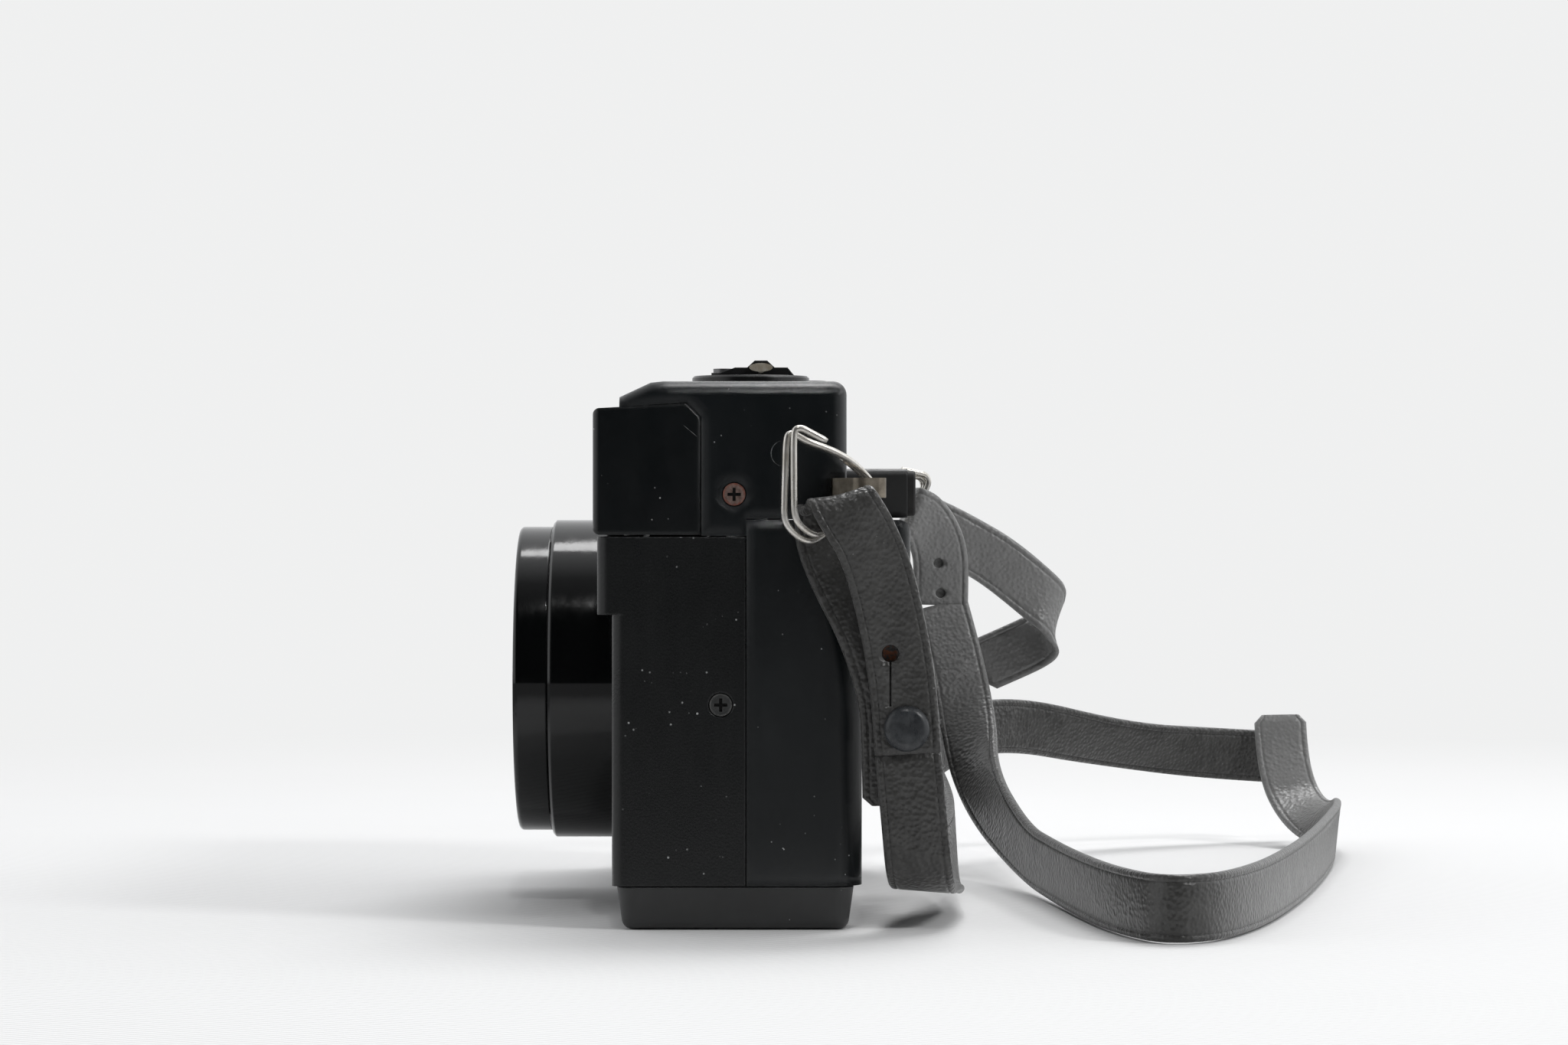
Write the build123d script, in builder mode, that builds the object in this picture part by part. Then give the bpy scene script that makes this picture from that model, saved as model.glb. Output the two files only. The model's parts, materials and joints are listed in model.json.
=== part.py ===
from build123d import *
import math
import os

# Compact film camera, millimetres. The origin is the mouth of the tripod socket, +Z is up,
# the lens faces -Y, and +X is the end with the film cartridge and the rewind knob.

# Driving sizes of the body
BODY_WIDTH = 125.0
BODY_TOP = 78.0
TOP_COVER_FOOT = 56.0
DOOR_TOP = 58.3
BASE_TOP = 6.1
WALL = 1.8
SEAM = 0.15
TOP_FRONT = -16.7
TOP_REAR = 15.6
TOP_ROUND = 2.0
PANEL_FRONT = -20.5
PANEL_REAR = -5.2
PANEL_TOP = 74.1
PANEL_TOP_REAR = 74.8
BODY_FRONT = -17.8
BAND_FRONT = -19.9
BAND_FOOT = 44.8
DOOR_SEAM = 1.36
DOOR_REAR = 17.8
DOOR_CORNER = 5.0
BULGE_REAR = 25.5
BULGE_FOOT = 31.0
BULGE_NEAR = 32.0
BULGE_FAR = -10.0
HALF = BODY_WIDTH / 2
INNER = HALF - WALL

# Lens
LENS_Z = 33.7
BARREL_RADIUS = 24.6
BARREL_FRONT = -28.9
RING_RADIUS = 23.55
RING_FRONT = -34.2
HELICOID_RADIUS = 21.0
CELL_RADIUS = 17.2
RUN = 0.06

# Film path
REWIND_X = HALF - 16.5
REWIND_Y = 1.84
CARTRIDGE_RADIUS = 13.0
SPOOL_X = -HALF + 20.5
SPOOL_Y = 4.6
SPOOL_ROOM = 9.4
SPOOL_RADIUS = 6.0
SPROCKET_X = -25.4
SPROCKET_Y = 6.6
SPROCKET_RADIUS = 4.7
GATE_WIDTH = 36.0
GATE_HEIGHT = 24.0
RAIL_Y = 10.5
CHASSIS_FRONT = -12.4
CHASSIS_REAR = 15.2
CHASSIS_SIDE = HALF - 2.1
CHASSIS_FOOT = 6.3
CHASSIS_TOP = 55.6
ROOM_FOOT = 8.4
ROOM_TOP = 53.6

# Batteries
CELL_D = 14.5
CELL_LENGTH = 50.5
CELL_Y = -8.7
CELL_XS = (-HALF + 9.9, -HALF + 31.5)
CELL_FOOT = 3.6
DOOR_PLATE = 1.4

# Door hinge, at the far rear corner
HINGE_X = -HALF + 2.1
HINGE_Y = 15.2
HINGE_RADIUS = 2.1
HINGE_PIN = 0.8
HINGE_SPAN = (9.0, 55.0)

# Rewind knob
KNOB_RADIUS = 8.5
KNOB_TOP = 80.3
KNOB_BASE = 0.9
CRANK_PIVOT_Y = 3.35
CRANK_PIVOT_Z = 80.1
LIFT_ROOM = 0.25

# Controls on the far half of the top
LEVER_X = SPOOL_X
LEVER_Y = SPOOL_Y
LEVER_SHAFT = 2.3
BUTTON_X = -27.0
BUTTON_Y = 1.3
BUTTON_RADIUS = 3.6
COUNTER_X = -13.0
COUNTER_Y = 3.0

# Eyepiece
EYE_X = 20.0
EYE_WIDTH = 20.0
EYE_FOOT = 58.6
EYE_TOP = 65.9
EYE_REAR = 26.3

# Strap, its rings and lugs
STRAP_WIDTH = 9.4
STRAP_THICK = 1.5
FOLD_THICK = 1.0
STUD_SHANK = 1.2
STUD_HEAD = 3.25
WIRE = 0.475
WIRE_PITCH = 1.05
RING_HALF_BASE = 7.4
RING_APEX = -1.6
RING_REACH = 13.0
RING_CORNER = 1.4
RING_APEX_CORNER = 0.8
LUG_Z = 62.8
LUG_HEIGHT = 2.8
LUG_THICK = 0.8

# Fasteners, socket and small inner sizes
SCREW_SEAT = 1.75
SCREW_HEAD = 1.6
SCREW_DEPTH = 0.9
SCREW_SHANK = 0.8
SCREW_GAP = 0.01
SCREW_TOP = (-0.4, 61.9)
SCREW_SIDE = (-2.3, 32.0)
BASE_SCREWS = [(-55.0, 9.5), (55.0, 9.5), (55.0, -11.5), (-16.0, -11.5)]
SOCKET_OUTER = 5.5
SOCKET_BORE = 3.175
SOCKET_DEPTH = 5.0
RELEASE_X = SPROCKET_X
RELEASE_Y = SPROCKET_Y
RELEASE_RADIUS = 2.54
SHUTTER_REAR = -8.0
SHUTTER_FRONT = -15.4
SHUTTER_RADIUS = 20.0
SHAFT_RADIUS = 2.4
LATCH_X0 = HALF - 2.9
LATCH_X1 = HALF - 2.2
LATCH_Y0 = 4.0
LATCH_Y1 = 9.0
LATCH_FOOT = 10.9
LATCH_LIFT = 6.0


def block(x0, x1, y0, y1, z0, z1):
    """A box between two corners, added to the part that is being built."""
    with Locations(((x0 + x1) / 2, (y0 + y1) / 2, (z0 + z1) / 2)):
        return Box(x1 - x0, y1 - y0, z1 - z0)


def cut_block(x0, x1, y0, y1, z0, z1):
    """A box between two corners, cut from the part that is being built."""
    with Locations(((x0 + x1) / 2, (y0 + y1) / 2, (z0 + z1) / 2)):
        return Box(x1 - x0, y1 - y0, z1 - z0, mode=Mode.SUBTRACT)


def lens_plane(y, x=0.0, z=LENS_Z):
    """A plane square to the lens axis, its normal towards the subject."""
    return Plane(origin=(x, y, z), x_dir=(1, 0, 0), z_dir=(0, -1, 0))


def side_profile(points, x0, x1, mode=Mode.ADD):
    """Extrudes a closed outline of (y, z) points along X, from x0 to x1."""
    with BuildSketch(Plane(origin=(x0, 0, 0), x_dir=(0, 1, 0), z_dir=(1, 0, 0))) as outline:
        with BuildLine():
            Polyline(*points, close=True)
        make_face()
    return extrude(outline.sketch, amount=x1 - x0, mode=mode)


def upright(x, y, radius, z0, z1, mode=Mode.ADD):
    """A vertical cylinder."""
    with Locations((x, y, z0)):
        return Cylinder(radius, z1 - z0, align=(Align.CENTER, Align.CENTER, Align.MIN), mode=mode)


def lens_disc(radius, y_rear, y_front, x=0.0, z=LENS_Z, mode=Mode.ADD):
    """A disc square to the lens axis, from its rear face to its front face."""
    with BuildSketch(lens_plane(y_rear, x, z)) as disc:
        Circle(radius)
    return extrude(disc.sketch, amount=y_rear - y_front, mode=mode)


def screw_seat(origin, direction, depth):
    """Cuts the sunk seat and the shank hole of a screw whose face is at origin."""
    seat = Plane(origin=origin, z_dir=direction)
    with BuildSketch(seat) as mouth:
        Circle(SCREW_SEAT)
    extrude(mouth.sketch, amount=-SCREW_DEPTH, mode=Mode.SUBTRACT)
    with BuildSketch(seat) as bore:
        Circle(SCREW_SHANK + SCREW_GAP)
    extrude(bore.sketch, amount=-depth, mode=Mode.SUBTRACT)


# Top cover: the profile of its end, run along the camera, rounded and hollowed out

TOP_OUTLINE = [
    (TOP_FRONT, TOP_COVER_FOOT),
    (TOP_FRONT, BODY_TOP - 2.25),
    (TOP_FRONT + 4.4, BODY_TOP - 0.2),
    (TOP_FRONT + 6.2, BODY_TOP),
    (TOP_REAR, BODY_TOP),
    (TOP_REAR, DOOR_TOP + SEAM),
    (DOOR_SEAM, DOOR_TOP + SEAM),
    (DOOR_SEAM, TOP_COVER_FOOT),
]
with BuildPart() as top_cover:
    side_profile(TOP_OUTLINE, -HALF, HALF)
    rear_top = top_cover.edges().filter_by(Axis.X).group_by(Axis.Z)[-1].sort_by(Axis.Y)[-1:]
    rear_uprights = top_cover.edges().filter_by(Axis.Z).group_by(Axis.Y)[-1]
    end_edges = top_cover.edges().group_by(Axis.Z)[-1].filter_by(Axis.Y)
    slopes = top_cover.edges().filter_by(lambda e: BODY_TOP - 2.3 < e.center().Z < BODY_TOP - 0.05)
    end_slopes = slopes.filter_by(lambda e: abs(abs(e.center().X) - HALF) < 0.01 and e.center().Y < 0)
    fillet(rear_top + rear_uprights + end_edges + end_slopes, TOP_ROUND)
    cut_block(-INNER, INNER, PANEL_REAR + WALL, TOP_REAR - WALL, TOP_COVER_FOOT - 1, BODY_TOP - WALL)
    cut_block(-INNER, INNER, TOP_FRONT + WALL + 1.2, PANEL_REAR + WALL, PANEL_TOP, BODY_TOP - WALL - 0.9)
    side_profile(
        [
            (TOP_FRONT - 1, TOP_COVER_FOOT - 1),
            (TOP_FRONT - 1, PANEL_TOP + SEAM),
            (PANEL_REAR - 1.9, PANEL_TOP_REAR + SEAM),
            (PANEL_REAR + SEAM, PANEL_TOP_REAR - 1.9),
            (PANEL_REAR + SEAM, TOP_COVER_FOOT - 1),
        ],
        -HALF - 1,
        HALF + 1,
        mode=Mode.SUBTRACT,
    )
    upright(REWIND_X, REWIND_Y, 3.2, BODY_TOP - WALL - 1, BODY_TOP + 1, mode=Mode.SUBTRACT)
    upright(LEVER_X, LEVER_Y, LEVER_SHAFT + RUN, BODY_TOP - WALL - 1, BODY_TOP + 1, mode=Mode.SUBTRACT)
    upright(BUTTON_X, BUTTON_Y, 4.3, BODY_TOP - WALL - 1, BODY_TOP + 1, mode=Mode.SUBTRACT)
    upright(COUNTER_X, COUNTER_Y, 2.6, BODY_TOP - WALL - 1, BODY_TOP + 1, mode=Mode.SUBTRACT)
    cut_block(EYE_X - 7, EYE_X + 7, TOP_REAR - WALL - 1, TOP_REAR + 1, EYE_FOOT + 0.9, EYE_TOP - 0.9)
    cut_block(
        EYE_X - 6.7, EYE_X + 6.7, PANEL_REAR - 1, PANEL_REAR + WALL + 1, EYE_FOOT + 0.9, EYE_TOP + 5.1)
    for side in (-1, 1):
        recess_ends = sorted((side * (HALF - 1.0), side * (HALF + 1)))
        cut_block(recess_ends[0], recess_ends[1], 13.2, TOP_REAR + 1, 60.6, 65.0)
        screw_seat((side * HALF, SCREW_TOP[0], SCREW_TOP[1]), (side, 0, 0), WALL + 1)

# Front panel: the block of the window strip, with an arched relief over the lens barrel

WINDOWS = {"finder": (EYE_X, 12.0, 8.0), "flash": (44.0, 24.0, 12.0), "sensor": (-6.0, 7.0, 7.0)}
WINDOW_Z = 65.6
WINDOW_STEP = 1.1
with BuildPart() as front_panel:
    side_profile(
        [
            (PANEL_FRONT, TOP_COVER_FOOT + SEAM),
            (PANEL_FRONT, PANEL_TOP),
            (PANEL_REAR - 1.9, PANEL_TOP_REAR),
            (PANEL_REAR, PANEL_TOP_REAR - 1.9),
            (PANEL_REAR, TOP_COVER_FOOT + SEAM),
        ],
        -HALF,
        HALF,
    )
    corners = front_panel.edges().filter_by(lambda e: abs(e.center().Y - PANEL_FRONT) < 0.01)
    fillet(corners, 1.0)
    side_profile(
        [
            (PANEL_FRONT + WALL, TOP_COVER_FOOT + SEAM + WALL),
            (PANEL_FRONT + WALL, PANEL_TOP - WALL),
            (PANEL_REAR + 1, PANEL_TOP - WALL),
            (PANEL_REAR + 1, TOP_COVER_FOOT + SEAM + WALL),
        ],
        -INNER,
        INNER,
        mode=Mode.SUBTRACT,
    )
    lens_disc(BARREL_RADIUS + 0.3, PANEL_REAR + 1, PANEL_FRONT - 1, mode=Mode.SUBTRACT)
    for x, width, height in WINDOWS.values():
        with BuildSketch(lens_plane(PANEL_FRONT, x, WINDOW_Z)):
            RectangleRounded(width, height, 1.2)
        extrude(amount=-WINDOW_STEP, mode=Mode.SUBTRACT)
        with BuildSketch(lens_plane(PANEL_FRONT, x, WINDOW_Z)):
            RectangleRounded(width - 2, height - 2, 0.8)
        extrude(amount=-WALL - 1, mode=Mode.SUBTRACT)


with BuildPart() as panel_windows:
    for x, width, height in WINDOWS.values():
        with BuildSketch(lens_plane(PANEL_FRONT, x, WINDOW_Z)):
            RectangleRounded(width - 0.1, height - 0.1, 1.15)
        extrude(amount=-WINDOW_STEP)

# Front body: the lower shell with its stepped band, open to the rear

with BuildPart() as front_body:
    side_profile(
        [
            (BODY_FRONT, BASE_TOP + SEAM),
            (BODY_FRONT, BAND_FOOT),
            (BAND_FRONT, BAND_FOOT),
            (BAND_FRONT, TOP_COVER_FOOT - SEAM),
            (DOOR_SEAM - SEAM, TOP_COVER_FOOT - SEAM),
            (DOOR_SEAM - SEAM, BASE_TOP + SEAM),
        ],
        -HALF,
        HALF,
    )
    uprights = front_body.edges().filter_by(Axis.Z)
    fillet(uprights.filter_by(lambda e: e.center().Y < BODY_FRONT + 0.01), 1.9)
    hinge_front = HINGE_Y - HINGE_RADIUS - 0.5
    block(-HALF, -INNER, DOOR_SEAM - SEAM, hinge_front, BASE_TOP + SEAM, TOP_COVER_FOOT - SEAM)
    cut_block(-INNER, INNER, BODY_FRONT + WALL, HINGE_Y, BASE_TOP - 1, TOP_COVER_FOOT)
    lens_disc(HELICOID_RADIUS + 0.8, BODY_FRONT + WALL + 1, BAND_FRONT - 1, mode=Mode.SUBTRACT)
    lens_disc(BARREL_RADIUS + 0.25, BODY_FRONT, BAND_FRONT - 1, mode=Mode.SUBTRACT)
    screw_seat((HALF, SCREW_SIDE[0], SCREW_SIDE[1]), (1, 0, 0), WALL + 1)

# Bottom cover: a shallow tray with drawn-in sides, the tripod boss and the battery opening

BATTERY_HATCH = (-60.6, -23.4, -16.2, -1.2)
with BuildPart() as bottom_cover:
    with BuildSketch(Plane.XY.offset(BASE_TOP)):
        with Locations((0, -0.25)):
            RectangleRounded(BODY_WIDTH, 33.7, 2.6)
    extrude(amount=-BASE_TOP, taper=8)
    fillet(bottom_cover.faces().sort_by(Axis.Z)[0].outer_wire().edges(), 1.6)
    with BuildSketch(Plane.XY.offset(WALL)):
        with Locations((0, -0.25)):
            RectangleRounded(BODY_WIDTH - 6.4, 28.4, 2.0)
    extrude(amount=BASE_TOP, mode=Mode.SUBTRACT)
    upright(0, 0, 8.5, 0.0, BASE_TOP)
    upright(0, 0, SOCKET_OUTER, -1, BASE_TOP + 1, mode=Mode.SUBTRACT)
    upright(RELEASE_X, RELEASE_Y, RELEASE_RADIUS + RUN, -1, WALL + 1, mode=Mode.SUBTRACT)
    for x, y in BASE_SCREWS:
        upright(x, y, 3.2, 0.0, BASE_TOP)
        screw_seat((x, y, 0), (0, 0, -1), BASE_TOP + 1)
    cut_block(*BATTERY_HATCH, -1, BASE_TOP + 1)

# Battery door, hinged along the camera at the rear edge of its opening

BATTERY_HINGE = (-2.35, 1.0)
DOOR_LEFT = BATTERY_HATCH[0] + 0.2
DOOR_RIGHT = BATTERY_HATCH[1] - 0.2
DOOR_LIP = BATTERY_HATCH[2] + 0.2
with BuildPart() as battery_door:
    block(DOOR_LEFT, DOOR_RIGHT, DOOR_LIP, BATTERY_HINGE[0] - 0.2, 0.0, DOOR_PLATE)
    block(DOOR_LEFT, DOOR_RIGHT, BATTERY_HINGE[0] - 1.0, BATTERY_HINGE[0], 0.3, BATTERY_HINGE[1] + 0.7)
    with BuildSketch(Plane.YZ.offset(DOOR_LEFT)):
        with Locations(BATTERY_HINGE):
            Circle(0.7)
    extrude(amount=DOOR_RIGHT - DOOR_LEFT)
    for x in (-50.0, -34.0):
        block(x - 2.5, x + 2.5, DOOR_LIP, DOOR_LIP + 1.2, 0.0, DOOR_PLATE + 1.2)

# Tripod socket: a flanged insert, bored for the quarter-inch thread

with BuildPart() as tripod_socket:
    upright(0, 0, SOCKET_OUTER - 0.02, 0.0, BASE_TOP)
    upright(0, 0, SOCKET_BORE, -1, SOCKET_DEPTH, mode=Mode.SUBTRACT)

# Chassis: one moulding with the cartridge chamber, film gate, spool chamber and battery wells

with BuildPart() as chassis:
    block(-CHASSIS_SIDE, CHASSIS_SIDE, CHASSIS_FRONT, CHASSIS_REAR, CHASSIS_FOOT, CHASSIS_TOP)
    fillet(chassis.edges().filter_by(Axis.Z).sort_by(lambda e: e.center().X + e.center().Y)[-1], 3.0)
    cut_block(-CHASSIS_SIDE - 1, -CHASSIS_SIDE + 3.4, 11.5, CHASSIS_REAR + 1, 0, 60)
    cut_block(-55.0, CHASSIS_SIDE - 1.2, RAIL_Y, CHASSIS_REAR + 1, ROOM_FOOT, ROOM_TOP)
    upright(REWIND_X, REWIND_Y, CARTRIDGE_RADIUS, ROOM_FOOT, ROOM_TOP, mode=Mode.SUBTRACT)
    cut_block(
        REWIND_X - CARTRIDGE_RADIUS,
        REWIND_X + CARTRIDGE_RADIUS,
        REWIND_Y,
        CHASSIS_REAR + 1,
        ROOM_FOOT,
        ROOM_TOP,
    )
    upright(SPOOL_X, SPOOL_Y, SPOOL_ROOM, ROOM_FOOT, ROOM_TOP, mode=Mode.SUBTRACT)
    cut_block(SPOOL_X - SPOOL_ROOM, SPOOL_X + SPOOL_ROOM, SPOOL_Y, CHASSIS_REAR + 1, ROOM_FOOT, ROOM_TOP)
    upright(SPROCKET_X, SPROCKET_Y, SPROCKET_RADIUS + 0.9, ROOM_FOOT, ROOM_TOP, mode=Mode.SUBTRACT)
    for x in CELL_XS:
        upright(x, CELL_Y, CELL_D / 2 + 0.15, 0, 60, mode=Mode.SUBTRACT)
    with BuildSketch(lens_plane(RAIL_Y + 0.5)):
        Rectangle(GATE_WIDTH, GATE_HEIGHT)
    with BuildSketch(lens_plane(SHUTTER_REAR)):
        Rectangle(18.0, 16.0)
    loft(mode=Mode.SUBTRACT)
    lens_disc(SHUTTER_RADIUS + 0.3, SHUTTER_REAR + 0.1, CHASSIS_FRONT - 1, mode=Mode.SUBTRACT)
    upright(REWIND_X, REWIND_Y, SHAFT_RADIUS + RUN, ROOM_TOP - 1, CHASSIS_TOP + 1, mode=Mode.SUBTRACT)
    upright(SPOOL_X, SPOOL_Y, 2.5 + RUN, ROOM_TOP - 1, CHASSIS_TOP + 1, mode=Mode.SUBTRACT)
    upright(SPROCKET_X, SPROCKET_Y, 1.6 + RUN, ROOM_TOP - 1, CHASSIS_TOP + 1, mode=Mode.SUBTRACT)
    upright(SPROCKET_X, SPROCKET_Y, 1.6 + RUN, CHASSIS_FOOT - 1, ROOM_FOOT + 1, mode=Mode.SUBTRACT)
    cut_block(LATCH_X0 - 0.1, CHASSIS_SIDE + 1, LATCH_Y0 - 0.2, LATCH_Y1 + 0.2, LATCH_FOOT - 0.2, 60)
    screw_seat((HALF, SCREW_SIDE[0], SCREW_SIDE[1]), (1, 0, 0), 3.6)
    for x, y in BASE_SCREWS:
        upright(x, y, SCREW_SHANK + SCREW_GAP, CHASSIS_FOOT - 1, CHASSIS_FOOT + 2.0, mode=Mode.SUBTRACT)

# Back door: wraps the rear half of the near end, and hinges at the far rear corner

HINGE_LOW, HINGE_HIGH = HINGE_SPAN
KNUCKLE = (HINGE_HIGH - HINGE_LOW) / 5
KNUCKLE_GAP = 0.3
DOOR_FOOT = BASE_TOP + SEAM


def knuckles(first):
    """Every second barrel section of the door hinge, from the one numbered first."""
    for i in range(first, 5, 2):
        z0 = HINGE_LOW + i * KNUCKLE + KNUCKLE_GAP / 2
        upright(HINGE_X, HINGE_Y, HINGE_RADIUS, z0, z0 + KNUCKLE - KNUCKLE_GAP)


with BuildPart() as back_door:
    block(HINGE_X + HINGE_RADIUS + 0.5, HALF, DOOR_SEAM, DOOR_REAR, DOOR_FOOT, DOOR_TOP)
    near_rear = back_door.edges().filter_by(Axis.Z).sort_by(lambda e: e.center().X + e.center().Y)[-1]
    fillet(near_rear, DOOR_CORNER)
    cut_block(HINGE_X, INNER - 3.4, DOOR_SEAM - 1, DOOR_REAR - WALL, DOOR_FOOT - 1, DOOR_TOP + 1)
    cut_block(INNER - 3.4, INNER, DOOR_SEAM - 1, DOOR_REAR - WALL - 3.4, DOOR_FOOT - 1, DOOR_TOP + 1)
    upright(INNER - 3.4, DOOR_REAR - WALL - 3.4, 3.4, DOOR_FOOT - 1, DOOR_TOP + 1, mode=Mode.SUBTRACT)
    block(BULGE_FAR, BULGE_NEAR, DOOR_REAR - WALL, BULGE_REAR, BULGE_FOOT, DOOR_TOP)
    bulge_edges = back_door.edges().filter_by(lambda e: e.center().Y > BULGE_REAR - 0.01)
    fillet(bulge_edges, 1.8)
    for i in (1, 3):
        z0 = HINGE_LOW + i * KNUCKLE + KNUCKLE_GAP / 2
        block(HINGE_X, -56.0, DOOR_REAR - WALL, HINGE_Y + HINGE_RADIUS, z0, z0 + KNUCKLE - KNUCKLE_GAP)
    knuckles(1)
    upright(HINGE_X, HINGE_Y, HINGE_PIN + RUN, 0, 60, mode=Mode.SUBTRACT)

with BuildPart() as door_hinge:
    for i in (0, 2, 4):
        z0 = HINGE_LOW + i * KNUCKLE + KNUCKLE_GAP / 2
        z1 = z0 + KNUCKLE - KNUCKLE_GAP
        block(HINGE_X - 0.3, HINGE_X + 1.5, HINGE_Y - HINGE_RADIUS - 1.2, HINGE_Y, z0, z1)
    block(-INNER + 0.02, HINGE_X + 1.9, 11.6, HINGE_Y - HINGE_RADIUS - 0.5, HINGE_LOW, HINGE_HIGH)
    knuckles(0)
    upright(HINGE_X, HINGE_Y, HINGE_PIN, HINGE_LOW - 0.6, HINGE_HIGH + 0.6)

# Pressure plate and its leaf spring, carried by the door

PLATE_FRONT = RAIL_Y + 0.3
with BuildPart() as pressure_plate:
    with BuildSketch(lens_plane(PLATE_FRONT + 1.1)):
        RectangleRounded(46.0, 33.0, 1.5)
    extrude(amount=1.1)
    for x in (-12.0, 12.0):
        with BuildSketch(lens_plane(PLATE_FRONT + 3.4, x)):
            Circle(1.1)
        extrude(amount=2.3)

with BuildPart() as pressure_spring:
    with BuildSketch(Plane.XY.offset(LENS_Z - 5)):
        with BuildLine():
            Polyline(
                (-9.0, 16.0), (-9.0, 15.6), (-4.0, 15.6), (0, 12.3), (4.0, 15.6), (9.0, 15.6), (9.0, 16.0))
            Polyline((9.0, 16.0), (3.8, 16.0), (0, 12.8), (-3.8, 16.0), (-9.0, 16.0))
        make_face()
    extrude(amount=10)

# Light seals, the foam strips above and below the film

with BuildPart() as light_seals:
    for z0, z1 in ((CHASSIS_FOOT + 0.2, ROOM_FOOT), (ROOM_TOP, CHASSIS_TOP - 0.1)):
        block(-54.0, CHASSIS_SIDE - 3.8, CHASSIS_REAR, DOOR_REAR - WALL - 0.3, z0, z1)

# Lens: fixed barrel, helicoid sleeve, focus ring, sliding cell and glass


def tube(outer, inner, y_rear, y_front):
    """A ring on the lens axis."""
    lens_disc(outer, y_rear, y_front)
    lens_disc(inner, y_rear + 1, y_front - 1, mode=Mode.SUBTRACT)


with BuildPart() as lens_barrel:
    tube(BARREL_RADIUS, HELICOID_RADIUS + 0.4, BODY_FRONT - 0.02, BARREL_FRONT)
    rim = lens_barrel.edges().filter_by(GeomType.CIRCLE).filter_by(
        lambda e: abs(e.center().Y - BARREL_FRONT) < 0.01 and e.radius > BARREL_RADIUS - 0.01
    )
    chamfer(rim, 0.4)

with BuildPart() as helicoid:
    lens_disc(HELICOID_RADIUS + 2.5, SHUTTER_FRONT, BODY_FRONT + WALL + 0.02)
    lens_disc(HELICOID_RADIUS, SHUTTER_FRONT, BARREL_FRONT - 2.2)
    lens_disc(CELL_RADIUS + RUN, SHUTTER_FRONT + 1, BARREL_FRONT - 3, mode=Mode.SUBTRACT)

with BuildPart() as focus_ring:
    tube(RING_RADIUS, HELICOID_RADIUS + RUN, BARREL_FRONT - 0.25, RING_FRONT)
    nose = focus_ring.edges().filter_by(GeomType.CIRCLE).filter_by(
        lambda e: abs(e.center().Y - RING_FRONT) < 0.01 and e.radius > RING_RADIUS - 0.01
    )
    fillet(nose, 0.7)

CELL_FRONT = RING_FRONT + 1.9
with BuildPart() as lens_cell:
    lens_disc(CELL_RADIUS, SHUTTER_FRONT - 0.3, CELL_FRONT)
    lens_disc(HELICOID_RADIUS - 0.3, BARREL_FRONT - 2.5, CELL_FRONT)
    with BuildSketch(lens_plane(CELL_FRONT)):
        Circle(14.5)
    with BuildSketch(lens_plane(CELL_FRONT + 6.0)):
        Circle(9.6)
    loft(mode=Mode.SUBTRACT)
    lens_disc(9.0, 0, RING_FRONT, mode=Mode.SUBTRACT)
    lens_disc(9.6, CELL_FRONT + 9.0, CELL_FRONT + 5.0, mode=Mode.SUBTRACT)

with BuildPart() as name_ring:
    tube(HELICOID_RADIUS - 0.3, 15.2, CELL_FRONT, CELL_FRONT - 0.6)


def lens_element(radius, y_rear, y_front, bow_rear, bow_front):
    """A glass with spherical faces, turned about the lens axis."""
    def sag(bow):
        """How far a spherical face of this bow has fallen away at half the radius."""
        sphere = (radius**2 + bow**2) / (2 * bow)
        return bow - sphere + math.sqrt(sphere**2 - (radius / 2) ** 2)

    with BuildSketch(Plane.XY.offset(LENS_Z)) as half:
        with BuildLine():
            Line((0, y_rear + bow_rear), (0, y_front - bow_front))
            ThreePointArc(
                (0, y_front - bow_front), (radius / 2, y_front - sag(bow_front)), (radius, y_front))
            Line((radius, y_front), (radius, y_rear))
            ThreePointArc((radius, y_rear), (radius / 2, y_rear + sag(bow_rear)), (0, y_rear + bow_rear))
        make_face()
    return revolve(half.sketch, axis=Axis((0, 0, LENS_Z), (0, 1, 0)))


with BuildPart() as lens_glass:
    lens_element(9.58, CELL_FRONT + 8.94, CELL_FRONT + 6.2, 0.3, 1.3)
    lens_element(8.98, CELL_FRONT + 12.4, CELL_FRONT + 10.6, 0.4, 0.4)

# Shutter: housing with its throat, and two blades that swing apart

BLADE_THICK = 0.25
BLADE_PIVOT = (0.0, LENS_Z - 15.0)
BLADE_ROOM = 1.6
BLADE_MID = SHUTTER_FRONT + 2.0
PIVOT_RADIUS = 1.0
with BuildPart() as shutter_housing:
    lens_disc(SHUTTER_RADIUS, SHUTTER_REAR, SHUTTER_FRONT)
    lens_disc(7.0, SHUTTER_REAR + 1, SHUTTER_FRONT - 1, mode=Mode.SUBTRACT)
    lens_disc(17.8, BLADE_MID + BLADE_ROOM / 2, BLADE_MID - BLADE_ROOM / 2, mode=Mode.SUBTRACT)
    lens_disc(PIVOT_RADIUS - RUN, BLADE_MID + BLADE_ROOM / 2, BLADE_MID - BLADE_ROOM / 2, *BLADE_PIVOT)
    tube(7.6, 5.4, SHUTTER_REAR + 3.0, SHUTTER_REAR)


def shutter_blade(side, y):
    """A thin sickle that covers half of the throat, on the shared pivot."""
    with BuildPart() as blade:
        with BuildSketch(lens_plane(y)):
            Circle(8.2)
            with Locations((side * 9.5, 0)):
                Rectangle(17, 20, mode=Mode.SUBTRACT)
            with Locations((0, BLADE_PIVOT[1] - LENS_Z)):
                Circle(2.2)
            with Locations((-side * 1.6, (BLADE_PIVOT[1] - LENS_Z) / 2)):
                Rectangle(3.2, 14.6)
            with Locations((0, BLADE_PIVOT[1] - LENS_Z)):
                Circle(PIVOT_RADIUS, mode=Mode.SUBTRACT)
        extrude(amount=BLADE_THICK)
    return blade


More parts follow.
